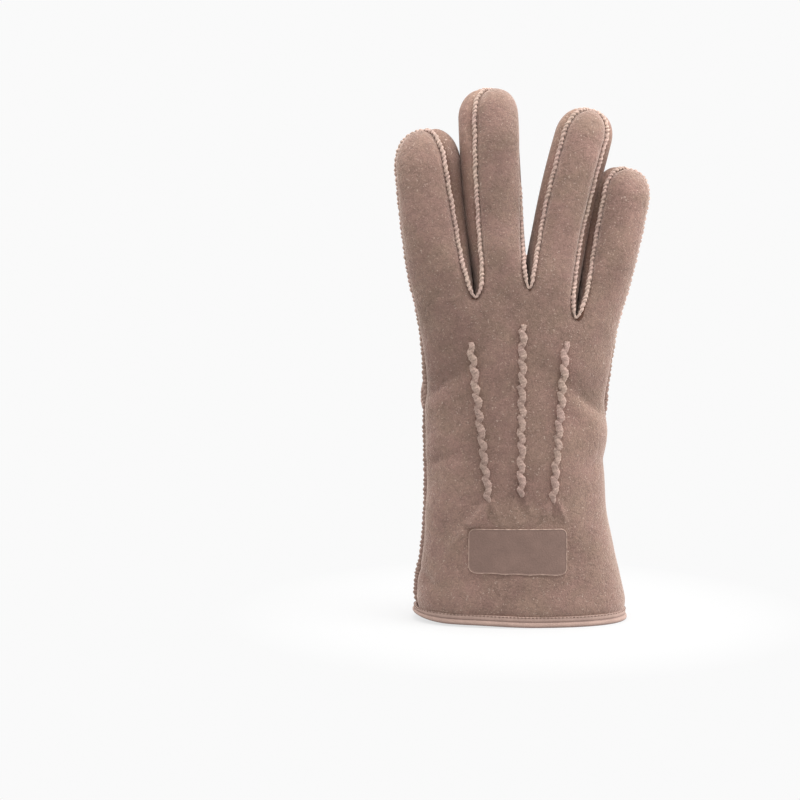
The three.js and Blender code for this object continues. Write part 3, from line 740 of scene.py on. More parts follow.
# Its noises: cells per metre, detail, roughness and distortion, and the values that become 0 and 1.
NAP_NOISES = {
    "patches": ((45, 3, 0.6), (0.3, 0.7)),
    "hues": ((80, 2, 0.5, 0.5), (0.35, 0.65)),
    "clusters": ((330, 3, 0.6, 0.6), (0.28, 0.72)),
    "strokes": ((720, 2, 0.6, 2.0), (0.32, 0.68)),
    "grain": ((2300, 2, 0.6), (0.25, 0.75)),
    "specks": ((1150, 1, 0.5), (0.655, 0.74)),
}
# How much lighter these make it, and how far they raise it.
NAP_SHARES = {"clusters": (0.24, 0.4), "strokes": (0.42, 0.32), "grain": (0.14, 0.14)}
PATCHES_RISE = 1.2
PINK_TINT, OLIVE_TINT = (1.025, 0.99, 1.01, 1), (0.98, 1.01, 0.97, 1)
SPECK_COLOUR = (0.5, 0.39, 0.33, 1)
SPECK_STRENGTH = 0.6
# How dark and light it is for its colour, and how much darker and lighter painted shade and light make
# it.
NAP_DARK, NAP_LIGHT = 0.5, 1.42
PAINTED_DARK, PAINTED_LIGHT = 0.68, 1.32
NAP = make_nap()


def new_material(name, sheen, specular, roughness=0.9, sheen_tint=(1, 1, 1)):
    """A material with its one shader, and the tree to build the rest in."""
    material = bpy.data.materials.new(name)
    material.use_nodes = True
    tree = material.node_tree
    shader = tree.nodes["Principled BSDF"]
    shader.inputs["Roughness"].default_value = roughness
    shader.inputs["Specular IOR Level"].default_value = specular
    shader.inputs["Sheen Weight"].default_value = sheen
    shader.inputs["Sheen Roughness"].default_value = 0.4
    shader.inputs["Sheen Tint"].default_value = (*sheen_tint, 1.0)
    return material, tree, shader


def make_suede(name, colour, patches=0.26, depth=0.0005, shade_colour=None, shade_share=0.32, sheen=0.85):
    """Suede: the nap round a colour, painted lighter or darker by one mask, and with painted shade in
    its seams and other hollows by another.
    """
    material, tree, shader = new_material(name, sheen, specular=0.1, sheen_tint=SHEEN_TINT)
    nap = add_node(tree, "ShaderNodeGroup", node_tree=NAP)
    nap.inputs["Dark"].default_value = shade(colour, NAP_DARK)
    nap.inputs["Light"].default_value = shade(colour, NAP_LIGHT)
    nap.inputs["Patches"].default_value = patches
    nap.inputs["Depth"].default_value = depth
    painted_light_and_shade = add_node(tree, "ShaderNodeAttribute", attribute_name="painted_light_and_shade").outputs["Fac"]
    lightness = add_range(tree, painted_light_and_shade, -1, 1, PAINTED_DARK, PAINTED_LIGHT)
    finished = add_mix(tree, nap.outputs["Color"], lightness, 1.0, "MULTIPLY")
    if shade_colour:
        painted_shade = add_node(tree, "ShaderNodeAttribute", attribute_name="painted_shade").outputs["Fac"]
        dark_share = add_range(tree, painted_shade, 0.2, 1, 0, shade_share)
        finished = add_mix(tree, finished, (*shade_colour, 1), dark_share)
    tree.links.new(finished, shader.inputs["Base Color"])
    tree.links.new(nap.outputs["Roughness"], shader.inputs["Roughness"])
    tree.links.new(nap.outputs["Normal"], shader.inputs["Normal"])
    return material


SHEEN_TINT = (1.0, 0.81, 0.72)
SUEDE_COLOUR = (0.238, 0.153, 0.124)
SEAM_SHADE = (0.11, 0.062, 0.048)
SUEDE = make_suede("suede", SUEDE_COLOUR, shade_colour=SEAM_SHADE)

# Folds die away towards a seam, as this power of how deep in the seam a point is, and towards the ends
# of their lines, as a sine does that starts and ends at these shares.
SEAM_STIFFNESS = 0.14
FOLD_START, FOLD_END = 0.15, 0.85
# How round a crease is at its bottom.
CREASE_ROUND = 0.4

# Soft folds: ends in the front view, half width, and how far they rise above the leather or sink.
BACK_FOLDS = [
    (-44.0, 98.0, -27.0, 110.0, 5.0, 1.0),
    (-43.0, 71.0, -31.0, 76.0, 5.0, 0.8),
    (23.0, 103.0, 38.0, 91.0, 5.5, 1.4),
    (36.0, 92.0, 33.0, 79.0, 5.0, 0.8),
    (40.0, 66.0, 37.0, 50.0, 5.0, 0.6),
    (-49.0, 25.0, -39.0, 16.0, 2.2, -1.0),
    (-47.0, 15.0, -38.0, 8.0, 4.0, 0.7),
    (-16.9, 58.0, -20.6, 50.0, 1.2, 0.9),
    (-13.8, 58.0, -11.0, 49.0, 1.2, 0.8),
    (-15.4, 55.0, -16.0, 48.0, 1.1, -0.7),
    (-2.6, 60.0, -6.2, 51.0, 1.2, 0.9),
    (0.8, 60.0, 4.0, 51.0, 1.2, 0.8),
    (-0.9, 57.5, -1.1, 50.0, 1.1, -0.7),
    (12.2, 58.0, 8.0, 49.0, 1.3, 1.0),
    (15.4, 58.0, 19.6, 48.0, 1.3, 1.0),
    (13.8, 55.0, 13.6, 47.0, 1.1, -0.7),
]
# Creases: ends in the front view, how far they reach above and below, and how far they rise or sink.
BACK_CREASES = [
    (-47.0, 103.2, -24.5, 120.5, 13.0, 6.5, -1.9),
    (20.5, 111.5, 40.0, 93.0, 12.0, 7.0, -2.1),
    (-46.0, 72.5, -27.0, 79.5, 2.4, 4.0, -1.3),
    (29.0, 71.0, 42.0, 76.0, 5.0, 3.0, -1.0),
    (-31.5, 37.0, -16.8, 56.0, 2.0, 3.2, 2.4),
]
# Painted light and shade, in rows of the same kind: where a row rises, the suede is painted lighter,
# and where it sinks, darker.
BACK_PAINTED_LIGHT = [
    (-50.0, 101.0, -24.5, 120.5, 34.0, 1.5, -0.8),
    (-48.0, 136.0, -26.0, 158.0, 16.0, 16.0, -0.4),
    (20.5, 111.5, 42.0, 91.5, 13.0, 1.5, -0.45),
    (20.5, 109.0, 42.0, 89.0, 1.5, 18.0, 0.75),
    (-13.0, 146.0, -7.0, 168.0, 9.0, 9.0, -0.32),
    (29.0, 48.0, 32.0, 86.0, 8.0, 12.0, 0.45),
    (-46.0, 71.0, -27.0, 78.0, 1.0, 9.0, 0.35),
    (-31.5, 36.5, -16.8, 55.5, 1.2, 2.6, 0.4),
    (-48.5, 20.0, -45.0, 90.0, 2.5, 2.5, -0.55),
    (-45.0, 90.0, -50.0, 150.0, 2.5, 2.5, -0.55),
    (-12.0, 188.0, -12.0, 226.0, 9.0, 9.0, -0.6),
    (-40.0, 8.0, 44.0, 8.0, 4.0, 3.0, 0.4),
    (9.0, 148.0, 18.0, 158.0, 7.0, 7.0, -0.3),
    (42.0, 110.0, 47.0, 150.0, 3.0, 8.0, 0.4),
    (-52.0, 203.0, -42.0, 226.0, 12.0, 9.0, 0.4),
    (-18.0, 228.0, -6.0, 240.0, 8.0, 9.0, 0.5),
    (27.0, 212.0, 38.0, 232.0, 12.0, 10.0, 0.5),
    (47.0, 170.0, 52.0, 202.0, 9.0, 12.0, 0.6),
    (-40.0, 62.0, -28.0, 66.0, 6.0, 6.0, 0.15),
    (-20.0, 22.0, 30.0, 20.0, 3.0, 8.0, 0.15),
]


def beside_line(points, x0, z0, x1, z1):
    """How points lie by a line in the front view: how far off, and whether above it.

    The third value is the line's strength by each point, which dies away towards its ends.
    """
    start = np.array([x0, z0])
    line = np.array([x1, z1]) - start
    from_start = points[:, [0, 2]] - start
    share = np.clip(from_start @ line / (line @ line), 0, 1)
    distance = np.linalg.norm(from_start - share[:, None] * line, axis=1)
    is_above = line[0] * from_start[:, 1] > line[1] * from_start[:, 0]
    return distance, is_above, np.sin(np.pi * lerp(FOLD_START, FOLD_END, share))


def creases(points, table):
    """How far creases lift the leather: an exponential of the distance, with a reach on each side."""
    lift = np.zeros(len(points))
    for *ends, reach_above, reach_below, rise in table:
        distance, is_above, strength = beside_line(points, *ends)
        reach = np.where(is_above, reach_above, reach_below)
        depth = (np.sqrt(distance**2 + CREASE_ROUND) - math.sqrt(CREASE_ROUND)) / reach
        lift += rise * strength * np.exp(-depth - 0.3 * depth**2)
    return lift


def folds(points, table):
    """How far soft folds lift the leather: a bell curve of the distance to each fold's line."""
    lift = np.zeros(len(points))
    for *ends, reach, rise in table:
        distance, _, strength = beside_line(points, *ends)
        lift += rise * strength * bell(distance, reach)
    return lift


def under_patch(points):
    """How far points lie under the patch, 0 to 1, with a soft edge round it."""
    x, z = points[:, 0], points[:, 2]
    under = smooth_step(x, PATCH_LEFT - 1.5, PATCH_LEFT - 0.5)
    under *= 1 - smooth_step(x, PATCH_RIGHT + 1, PATCH_RIGHT + 4)
    under *= smooth_step(z, PATCH_BOTTOM - 4, PATCH_BOTTOM - 1)
    under *= 1 - smooth_step(z, PATCH_TOP, PATCH_TOP + 2)
    return under * (points[:, 1] < 0)


def panel_skin(side, columns):
    """The points, outward directions and faces of the back or the palm.

    The hand is one grid over all four strips, and a grid over each finger grows from its top row.
    """
    flipped = side == "palm"
    evens = [np.linspace(0, 1, count + 1) for count in columns]
    starts = np.concatenate([[0], np.cumsum(columns)])
    rises = np.linspace(0, 1, HAND_ROWS + 1)[:, None]
    hand = np.concatenate([
        strip_point(side, strip, even[None, min(strip, 1):], rises) for strip, even in enumerate(evens)
    ], axis=1)
    ids = np.arange(hand.shape[0] * hand.shape[1]).reshape(hand.shape[:2])
    points = [hand.reshape(-1, 3)]
    facing = [outward(hand, flipped).reshape(-1, 3)]
    faces = [grid_faces(ids, flipped)]
    used = ids.size
    rises = np.linspace(1, 2, FINGER_ROWS + 1)[:, None]
    for strip, even in enumerate(evens):
        grid = strip_point(side, strip, even[None, :], rises)
        direction = outward(grid, flipped)
        direction[-1] = fingertip(strip)["facing"]
        finger_ids = np.empty(grid.shape[:2], int)
        finger_ids[0] = ids[-1, starts[strip]:starts[strip + 1] + 1]
        inner = used + np.arange((grid.shape[0] - 2) * grid.shape[1])
        finger_ids[1:-1] = inner.reshape(-1, grid.shape[1])
        finger_ids[-1] = inner[-1] + 1
        used = inner[-1] + 2
        points += [grid[1:-1].reshape(-1, 3), grid[-1, :1]]
        facing += [direction[1:-1].reshape(-1, 3), direction[-1, :1]]
        faces.append(grid_faces(finger_ids, flipped))
    return np.concatenate(points), np.concatenate(facing), np.concatenate(faces)


side_seams = [SEAMS["side_seam_index"], SEAMS["side_seam_little"]]
back_fork_seams = [SEAMS[name] for name in SEAMS if name.startswith("back")]
back_points, back_facing, back_faces = panel_skin("back", BACK_COLUMNS)
back_painted_light = creases(back_points, BACK_PAINTED_LIGHT)
back_lift = folds(back_points, BACK_FOLDS) + creases(back_points, BACK_CREASES)
back_lift += undulations(back_points)
back_points, back_in_seam = sewn_down(
    back_points, back_facing, (side_seams, side_dip), (back_fork_seams, FORK_SEAM_DIP),
)
back_lift *= (1 - back_in_seam ** SEAM_STIFFNESS) * (1 - under_patch(back_points))
back_swell, back_hem_shade = above_hem(back_points)
back_points += back_facing * (back_lift + back_swell)[:, None]
# The back is painted with shade in its seams and above the binding, and lighter or darker by its rows.
thicken(new_piece(
    "back_leather", back_points, back_faces, SUEDE, ["back_panel"],
    {"painted_shade": np.maximum(back_in_seam, back_hem_shade), "painted_light_and_shade": back_painted_light},
))


# The palm: one piece of suede with the fronts of the fingers. A narrow elastic sewn inside the wrist
# gathers it, and below that hangs the cuff. The thumb's hole is cut in it.

PALM_COLUMNS = (44, 54, 36, 26)

# The gathers: their middle and half width, the folds' width, depth and reach above and below the
# elastic, how far they fan out, and how far the elastic draws the palm in, over what height.
GATHER_X, GATHER_Z = -6.5, 47.8
GATHER_HALF_WIDTH = 15.5
GATHER_FOLD = 5.1
GATHER_FOLD_DEPTH = 2.7
GATHER_REACH_ABOVE, GATHER_REACH_BELOW = 10.5, 16.0
GATHER_FAN = 0.026
GATHER_DRAW = 1.5
GATHER_DRAW_REACH = 6.0
# The zigzag groove between the folds above and below.
ZIGZAG = 1.7
ZIGZAG_DEPTH = 1.6
ZIGZAG_WIDTH = 0.55

# Its folds, creases and painted light and shade, in rows of the same kinds as those of the back.
PALM_FOLDS = [
    (28.0, 30.0, 40.0, 14.0, 3.0, 0.9),
    (22.0, 26.0, 34.0, 10.0, 4.0, -0.6),
    (-38.0, 14.0, 20.0, 12.0, 5.0, -0.7),
    (8.0, 112.0, 30.0, 134.0, 6.0, -0.7),
    (-2.0, 128.0, 20.0, 142.0, 5.0, 0.5),
    (20.0, 70.0, 34.0, 62.0, 5.0, 0.6),
]
PALM_CREASES = [
    (-50.0, 41.0, -21.0, 45.8, 10.0, 4.5, -2.2),
    (9.0, 44.5, 36.0, 38.0, 9.0, 6.0, -1.3),
]
PALM_PAINTED_LIGHT = [
    (-50.0, 41.0, -20.0, 46.0, 12.0, 1.5, -0.5),
    (-50.0, 40.0, -20.0, 45.0, 1.5, 10.0, 0.45),
    (5.0, 44.0, 40.0, 36.0, 2.0, 10.0, 0.35),
]

# The palm is cut away within this share of the thumb's first ring, below this height.
HOLE_SHARE = 0.74
HOLE_BELOW = 120.0

# The thumb's rings are superellipses of this power, but for the two lower corners of the first ones.
THUMB_POWER = 2.2
# The rings from the hole in the palm to where the thumb runs free: the ring's near point, by the top
# of the hole, and far point, each with its height above the palm, then lean, half width and the powers
# of the two lower corners, first the one on the index side.
THUMB_NEAR_FAR_LEAN_WIDTH_CORNERS = [
    (-31.5, 104.0, 0.0, -20.5, 53.0, 0.0, -20, 17.0, 1.7, 1.6),
    (-31.3, 104.7, 0.7, -20.3, 56.4, 2.0, -16, 12.2, 1.3, 1.4),
    (-31.2, 105.4, 1.4, -20.3, 62.0, 8.0, -8, 14.6, 1.25, 1.5),
    (-30.9, 106.0, 2.0, -20.3, 71.0, 14.0, 0, 17.4, 1.3, 1.5),
    (-30.2, 106.6, 2.4, -21.8, 82.0, 19.0, 8, 19.8, 1.5, 1.7),
    (-27.5, 107.1, 2.8, -22.7, 94.5, 23.0, 15, 20.9, 1.8, 1.95),
    (-22.6, 107.5, 3.0, -22.6, 107.5, 25.5, 22, 20.9, 2.2, 2.2),
]


def gathers(points):
    """How far the elastic draws the palm in, and how deep the painted shade in its folds and groove is,
    from 0 to 1.

    The folds above the elastic end as tongues that lie between those of the folds below it, with
    a zigzag groove between them. The folds fan out from there and die away, each a little
    differently.
    """
    x, z = points[:, 0], points[:, 2]
    above = z - GATHER_Z
    within = np.exp(-(((x - GATHER_X) / GATHER_HALF_WIDTH) ** 6))
    fan = (x - GATHER_X) / (1 + GATHER_FAN * np.abs(above))
    phase = fan / GATHER_FOLD + waves(fan, (0.07, 0.55, 0.4))
    tongues = ZIGZAG * (np.abs(2 * (phase % 1) - 1) * 2 - 1) * (1 + waves(fan, (0.25, 0.9, 0.0)))
    over = smooth_step(above - tongues, -0.35, 0.35)
    crest = 0.5 + 0.5 * np.cos(2 * np.pi * phase)
    valley = lerp((1 - crest) ** 3, crest ** 3, over)
    reach = np.where(above > 0, GATHER_REACH_ABOVE, GATHER_REACH_BELOW)
    reach = reach * (1 + waves(fan, (0.35, 1.1, 1.0)))
    fading = bell(above, reach)
    groove = bell(above, ZIGZAG_WIDTH, tongues)
    draw = GATHER_DRAW * bell(above, GATHER_DRAW_REACH)
    drawn = within * (GATHER_FOLD_DEPTH * valley * fading + ZIGZAG_DEPTH * groove + draw)
    return drawn, within * np.maximum(groove, valley * fading)


def lean_across(lean, width):
    """A ring's sideways half width as a vector, turned in the front view."""
    angle = np.radians(lean)
    return np.stack([np.cos(angle), 0 * angle, -np.sin(angle)], axis=-1) * np.asarray(width)[..., None]


def corner_power(sideways, up, index_corner, finger_corner):
    """The superellipse power of a ring in each of its quarters."""
    return np.where(up >= 0, THUMB_POWER, np.where(sideways < 0, index_corner, finger_corner))


def share_of_hole(x, z):
    """How far a point of the front view is from the hole's centre: 1 is on the thumb's first ring."""
    near_x, near_z, _, far_x, far_z, _, lean, width, _, _ = THUMB_NEAR_FAR_LEAN_WIDTH_CORNERS[0]
    across = lean_across(np.array(lean), np.array(width))[[0, 2]]
    up = np.array([near_x - far_x, near_z - far_z]) / 2
    centre = np.array([near_x + far_x, near_z + far_z]) / 2
    a, b = np.linalg.solve(np.stack([across, up], axis=1), np.stack([x, z]) - centre[:, None])
    power = corner_power(a, b, *THUMB_NEAR_FAR_LEAN_WIDTH_CORNERS[0][8:])
    return np.abs(a) ** power + np.abs(b) ** power


palm_fork_seams = [SEAMS[name] for name in SEAMS if name.startswith("palm")]
palm_points, palm_facing, palm_faces = panel_skin("palm", PALM_COLUMNS)
palm_drawn, palm_fold_shade = gathers(palm_points)
palm_painted_light = creases(palm_points, PALM_PAINTED_LIGHT)
palm_lift = folds(palm_points, PALM_FOLDS) + creases(palm_points, PALM_CREASES)
palm_lift += undulations(palm_points) - palm_drawn
palm_hole_share = share_of_hole(palm_points[:, 0], palm_points[:, 2])
palm_points, palm_in_seam = sewn_down(
    palm_points, palm_facing, (side_seams, side_dip), (palm_fork_seams, FORK_SEAM_DIP),
)
palm_lift *= 1 - palm_in_seam ** SEAM_STIFFNESS
palm_swell, palm_hem_shade = above_hem(palm_points)
palm_points += palm_facing * (palm_lift + palm_swell)[:, None]
palm_shade = np.maximum(np.maximum(palm_in_seam, palm_fold_shade), palm_hem_shade)
in_hole = (palm_hole_share < HOLE_SHARE) & (palm_points[:, 1] > 0) & (palm_points[:, 2] < HOLE_BELOW)
palm_faces = palm_faces[~in_hole[palm_faces].all(axis=1)]
kept, palm_faces = np.unique(palm_faces, return_inverse=True)
# The palm is painted with shade in its seams, gathers and above the binding, and lighter or darker by
# its rows.
thicken(new_piece(
    "palm_leather", palm_points[kept], palm_faces.reshape(-1, 4), SUEDE, ["palm_panel"],
    {"painted_shade": palm_shade[kept], "painted_light_and_shade": palm_painted_light[kept]},
))


# The forks: three strips of suede, each folded at the crotch of two fingers, which run up the facing
# sides of both and make them round.

FORK_COLUMNS = 22
# The sides' suede is painted a little darker than the rest, as shade between the fingers, and darker
# still in painted shade by the seams and in their middles.
SHADED_FORK_COLOUR = (0.222, 0.142, 0.114)
FORK_SHADE = (0.125, 0.062, 0.043)
SHADED_FORK_SUEDE = make_suede("shaded_fork_suede", SHADED_FORK_COLOUR, shade_colour=FORK_SHADE, shade_share=0.9, sheen=0.3)
# The sides of the fingers, each with how deep the painted shade in its middle is by the crotch, halfway
# up and by the tip, and the painted light halfway up and by the tip: lighter, or darker where the next
# finger shades it. These follow one another between the rises below.
FORK_SIDES = {
    (0, "right"): (0.6, 1.0, 0.2, -0.8, 0.7),
    (1, "left"): (0.4, 0.8, 0.1, 1.0, 1.0),
    (1, "right"): (0.2, 0.8, 0.2, 0.0, 0.3),
    (2, "left"): (0.3, 0.6, 0.1, 0.9, 1.0),
    (2, "right"): (0.9, 1.0, 0.1, -0.8, 0.9),
    (3, "left"): (0.9, 1.0, 0.2, -0.8, 0.5),
}
SHADE_TO_HALFWAY, SHADE_TO_TIP = (1.0, 1.5), (1.6, 1.8)
LIGHT_TO_HALFWAY, LIGHT_TO_TIP = (1.3, 1.6), (1.68, 1.86)

for fork_number, fork_name in enumerate(FORK_NAMES):
    shares = np.linspace(0, 1, FORK_COLUMNS + 1)[None, :]
    rises = np.linspace(1, 2, FINGER_ROWS + 1)[:, None]
    fork_points, fork_facing, fork_faces = [], [], []
    fork_shade, fork_painted_light = [], []
    used = 0
    for finger, edge, flipped in ((fork_number, "right", False), (fork_number + 1, "left", True)):
        grid = side_point(finger, edge, shares, rises)
        direction = outward(grid, flipped)
        direction[-1] = fingertip(finger)["facing"]
        ids = used + np.arange(grid.size // 3).reshape(grid.shape[:2])
        if used:
            ids[0] = np.arange(FORK_COLUMNS + 1)
        ids[-1] = ids[-1, 0]
        used += grid.size // 3
        low, halfway, high, light_halfway, light_high = FORK_SIDES[finger, edge]
        shade_depth = lerp(low, halfway, smooth_step(rises, *SHADE_TO_HALFWAY))
        shade_depth = lerp(shade_depth, high, smooth_step(rises, *SHADE_TO_TIP))
        fork_shade.append((np.sin(np.pi * shares) * shade_depth).ravel())
        painted_light_and_shade = light_halfway * smooth_step(rises, *LIGHT_TO_HALFWAY)
        painted_light_and_shade = lerp(painted_light_and_shade, light_high, smooth_step(rises, *LIGHT_TO_TIP))
        fork_painted_light.append((painted_light_and_shade + 0 * shares).ravel())
        fork_points.append(grid.reshape(-1, 3))
        fork_facing.append(direction.reshape(-1, 3))
        fork_faces.append(grid_faces(ids, flipped))
    web = slice(0, FORK_COLUMNS + 1)
    fork_facing[0][web] = unit(fork_facing[0][web] + fork_facing[1][web])
    fork_points, fork_facing = np.concatenate(fork_points), np.concatenate(fork_facing)
    fork_shade, fork_painted_light = np.concatenate(fork_shade), np.concatenate(fork_painted_light)
    fork_seams = [SEAMS[f"{side}_seam_{fork_name}"] for side in ("back", "palm")]
    fork_points, fork_in_seam = sewn_down(
        fork_points, fork_facing, (side_seams, side_dip), (fork_seams, FORK_SEAM_DIP),
    )
    # Where light is painted on, the painted shade by the seam is narrower and fainter.
    painted_lighter = np.maximum(fork_painted_light, 0)
    fork_in_seam = fork_in_seam ** (1 + painted_lighter) * (1 - 0.5 * painted_lighter)
    kept, fork_faces = np.unique(np.concatenate(fork_faces), return_inverse=True)
    thicken(new_piece(
        f"fork_leather_{fork_name}", fork_points[kept], fork_faces.reshape(-1, 4), SHADED_FORK_SUEDE,
        [f"fork_{fork_name}"],
        {"painted_shade": np.maximum(fork_in_seam, fork_shade)[kept], "painted_light_and_shade": fork_painted_light[kept]},
    ))


# The thumb: one piece of suede folded round, sewn along its index side and over the tip, and set into
# the hole in the palm. It leans across the palm towards the fingers.

# The free rings: distance along the axis, sideways offset, lean, half width and half depth.
THUMB_ALONG_OFFSET_LEAN_WIDTH_DEPTH = [
    (11, -0.1, 26.0, 20.3, 11.4),
    (23, 0.2, 28.5, 19.7, 11.2),
    (36, 1.4, 29.5, 19.0, 10.8),
    (50, 2.2, 29.5, 17.5, 10.0),
]
# How its axis leans sideways in degrees, how far it bends towards the palm, and how long its rounded
# end is.
THUMB_LEAN = 29.5
THUMB_SETTLE = 3.0
THUMB_CAP = 17.2

# Its mesh. A row's number counts the rings: to 6 it rises from the palm, from there to 10 it is free,
# and from there to 11 it is rounded.
THUMB_COLUMNS = 120
FREE_RING, LAST_RING, TIP_ROW = 6, 10, 11
THUMB_ROWS = np.concatenate([
    np.linspace(0, FREE_RING, 85)[:-1],
    np.linspace(FREE_RING, LAST_RING, 49)[:-1],
    np.linspace(LAST_RING, TIP_ROW, 32),
])


def thumb_rings():
    """The thumb's ring table: near point, far point, sideways half width, corner powers and follow.

    Follow is how far a ring still bends with the palm's face: 1 at the hole and 0 where the
    thumb runs free.
    """
    base = np.array(THUMB_NEAR_FAR_LEAN_WIDTH_CORNERS)
    palm_y = over_hand("palm", base[-1, 0], base[-1, 1])[1] + GAP
    near = np.stack([base[:, 0], palm_y + base[:, 2], base[:, 1]], axis=1)
    far = np.stack([base[:, 3], palm_y + base[:, 5], base[:, 4]], axis=1)
    across = lean_across(base[:, 6], base[:, 7])
    follow = (1 - np.arange(len(base)) / (len(base) - 1)) ** 2
    rings = np.column_stack([near, far, across, base[:, 8:], follow])
    start = (near[-1] + far[-1]) / 2
    free = np.array(THUMB_ALONG_OFFSET_LEAN_WIDTH_DEPTH)
    length = free[-1, 0] + THUMB_CAP
    centre, half = thumb_free(start, free[:, 0], free[:, 1], free[:, 2], free[:, 4], length)
    across = lean_across(free[:, 2], free[:, 3])
    rest = np.tile([*base[-1, 8:], 0.0], (len(free), 1))
    rings = np.concatenate([rings, np.column_stack([centre - half, centre + half, across, rest])])
    return np.column_stack([np.arange(len(rings)), rings]), start, palm_y


def thumb_free(start, along, offset, lean, depth, length):
    """The centre and the half depth of the free thumb at a distance along its axis."""
    lean_angle = math.radians(THUMB_LEAN)
    axis = np.array([math.sin(lean_angle), 0, math.cos(lean_angle)])
    centre = start + along[:, None] * axis + lean_across(lean, offset)
    centre[:, 1] -= THUMB_SETTLE * (along / length) ** 2
    return centre, np.stack([0 * depth, depth, 0 * depth], axis=1)


def thumb_point(angle, row):
    """A point of the thumb at an angle round its ring and a row from 0, the hole, to 11, the tip.

    Up to row 10 the rings of the table are joined by cubics, and from there the last ring
    shrinks round the tip by a power of the cosine.
    """
    table, start, palm_y = thumb_rings()
    angle, row = np.broadcast_arrays(np.asarray(angle, float), np.asarray(row, float))
    shape = angle.shape
    angle, row = angle.ravel(), row.ravel()
    ring = cubic_through(table, np.minimum(row, LAST_RING))
    turn = np.clip(row - LAST_RING, 0, 1) * np.pi / 2
    along, offset, lean, width, depth = THUMB_ALONG_OFFSET_LEAN_WIDTH_DEPTH[-1]
    shrink = np.abs(np.cos(turn)) ** TIP_POWER
    full = np.ones(len(row))
    to_tip = along + THUMB_CAP
    along = along + THUMB_CAP * np.sin(turn)
    centre, half = thumb_free(start, along, offset * full, lean * full, depth * shrink, to_tip)
    cap = np.column_stack([centre - half, centre + half, lean_across(lean * full, width * shrink)])
    ring[:, :9] = np.where((row > LAST_RING)[:, None], cap, ring[:, :9])
    near, far, across, follow = ring[:, :3], ring[:, 3:6], ring[:, 6:9], ring[:, 11]
    c, s = np.cos(angle), np.sin(angle)
    power = 2 / corner_power(c, s, ring[:, 9], ring[:, 10])
    point = (near + far) / 2 + across * signed_power(c, power)[:, None]
    point = point + (near - far) / 2 * signed_power(s, power)[:, None]
    palm = over_hand("palm", point[:, 0], point[:, 2])[:, 1]
    point[:, 1] += follow * (palm + GAP - palm_y)
    return point.reshape(*shape, 3)


def thumb_facing(angle, row):
    """The direction that the thumb faces, by small steps round it and up it."""
    small = 0.02
    around = thumb_point(angle + small, row) - thumb_point(angle - small, row)
    above, below = np.minimum(row + small, TIP_ROW - small), np.maximum(row - small, 0)
    up = thumb_point(angle, above) - thumb_point(angle, below)
    return unit(np.cross(up, around))


def thumb_seams():
    """The seam round the hole, and the one along the index side of the thumb and over its tip.

    The second starts a little under the thumb's index side, and comes round to it further up.
    """
    angles = np.linspace(0, 2 * np.pi, 500)
    facing = unit(thumb_facing(angles, 0.3) + np.array([0, 1.2, 0]))
    loop = even_steps(thumb_point(angles, 0.04), facing, SEAM_STEP)
    almost_tip = TIP_ROW - 0.03
    to_tip = np.linspace(LAST_RING, almost_tip, 60)[1:]
    up = np.concatenate([np.linspace(0.06, LAST_RING, 400), to_tip])
    down = np.linspace(almost_tip, LAST_RING - 0.4, 60)
    rows = np.concatenate([up, down])
    under = 0.5 * (1 - smooth_step(up, 2.0, 4.5))
    angles = np.concatenate([np.pi - under, np.zeros(len(down))])
    line, facing = even_steps(thumb_point(angles, rows), thumb_facing(angles, rows), SEAM_STEP)
    return loop, (rounded(line, 4), unit(rounded(facing, 9)))


SEAMS["thumb_hole_seam"], SEAMS["thumb_seam"] = thumb_seams()
thumb_angles = np.linspace(0, 2 * np.pi, THUMB_COLUMNS + 1)[None, :-1]
thumb_grid = thumb_point(thumb_angles, THUMB_ROWS[:, None])
thumb_out = thumb_facing(thumb_angles, THUMB_ROWS[:, None])
thumb_ids = np.arange(thumb_grid.size // 3).reshape(thumb_grid.shape[:2])
thumb_ids[-1] = thumb_ids[-1, 0]
thumb_points, thumb_in_seam = sewn_down(
    thumb_grid.reshape(-1, 3), thumb_out.reshape(-1, 3),
    ([SEAMS["thumb_seam"]], THUMB_SEAM_DIP),
)
# The pocket between the thumb's index side and the palm, which little light reaches.
in_pocket = bell(THUMB_ROWS[:, None], 1.7) * smooth_step(-np.cos(thumb_angles), 0.1, 0.6)
thumb_shade = np.maximum(thumb_in_seam, in_pocket.ravel())
kept, thumb_faces = np.unique(round_faces(thumb_ids, True), return_inverse=True)
thicken(new_piece(
    "thumb_leather", thumb_points[kept], thumb_faces.reshape(-1, 4), SUEDE, ["thumb"],
    {"painted_shade": thumb_shade[kept], "painted_light_and_shade": -0.5 * in_pocket.ravel()[kept]},
))


# The seams: the two raw edges of leather stand up side by side, and a thread whipped over them
# pinches them into slanting beads.

# For each kind of seam: half width, half height, and how far its top stands above the leather.
WELTS = {
    "side_seam": (1.1, 1.75, 0.1),
    "back_seam": (1.12, 1.1, 0.1),
    "palm_seam": (1.12, 1.1, 0.1),
    "thumb_hole": (1.65, 1.35, 1.25),
    "thumb_seam": (1.3, 1.25, 0.1),
}
# How much deeper a seam lies where it is turned under: a side seam, and one at a fingertip.
SIDE_SEAM_SUNK, TIP_SEAM_SUNK = 1.0, 2.1
# The stitches: their pitch, how far they slant in pitches, how far they pinch the welt, and how round
# the beads between them are.
STITCH_PITCH = 2.25
STITCH_SLANT = -0.34
PINCH = 0.48
BEAD_POWER = 0.9
WELT_SIDES = 16
# A welt is thinner at its ends, over this length, and a fork's seam at the crotch: by how much, and
# how far up from it.
WELT_END, WELT_TAPER = 0.55, 2.0
CROTCH_THIN, CROTCH_REACH = 0.42, 4.5
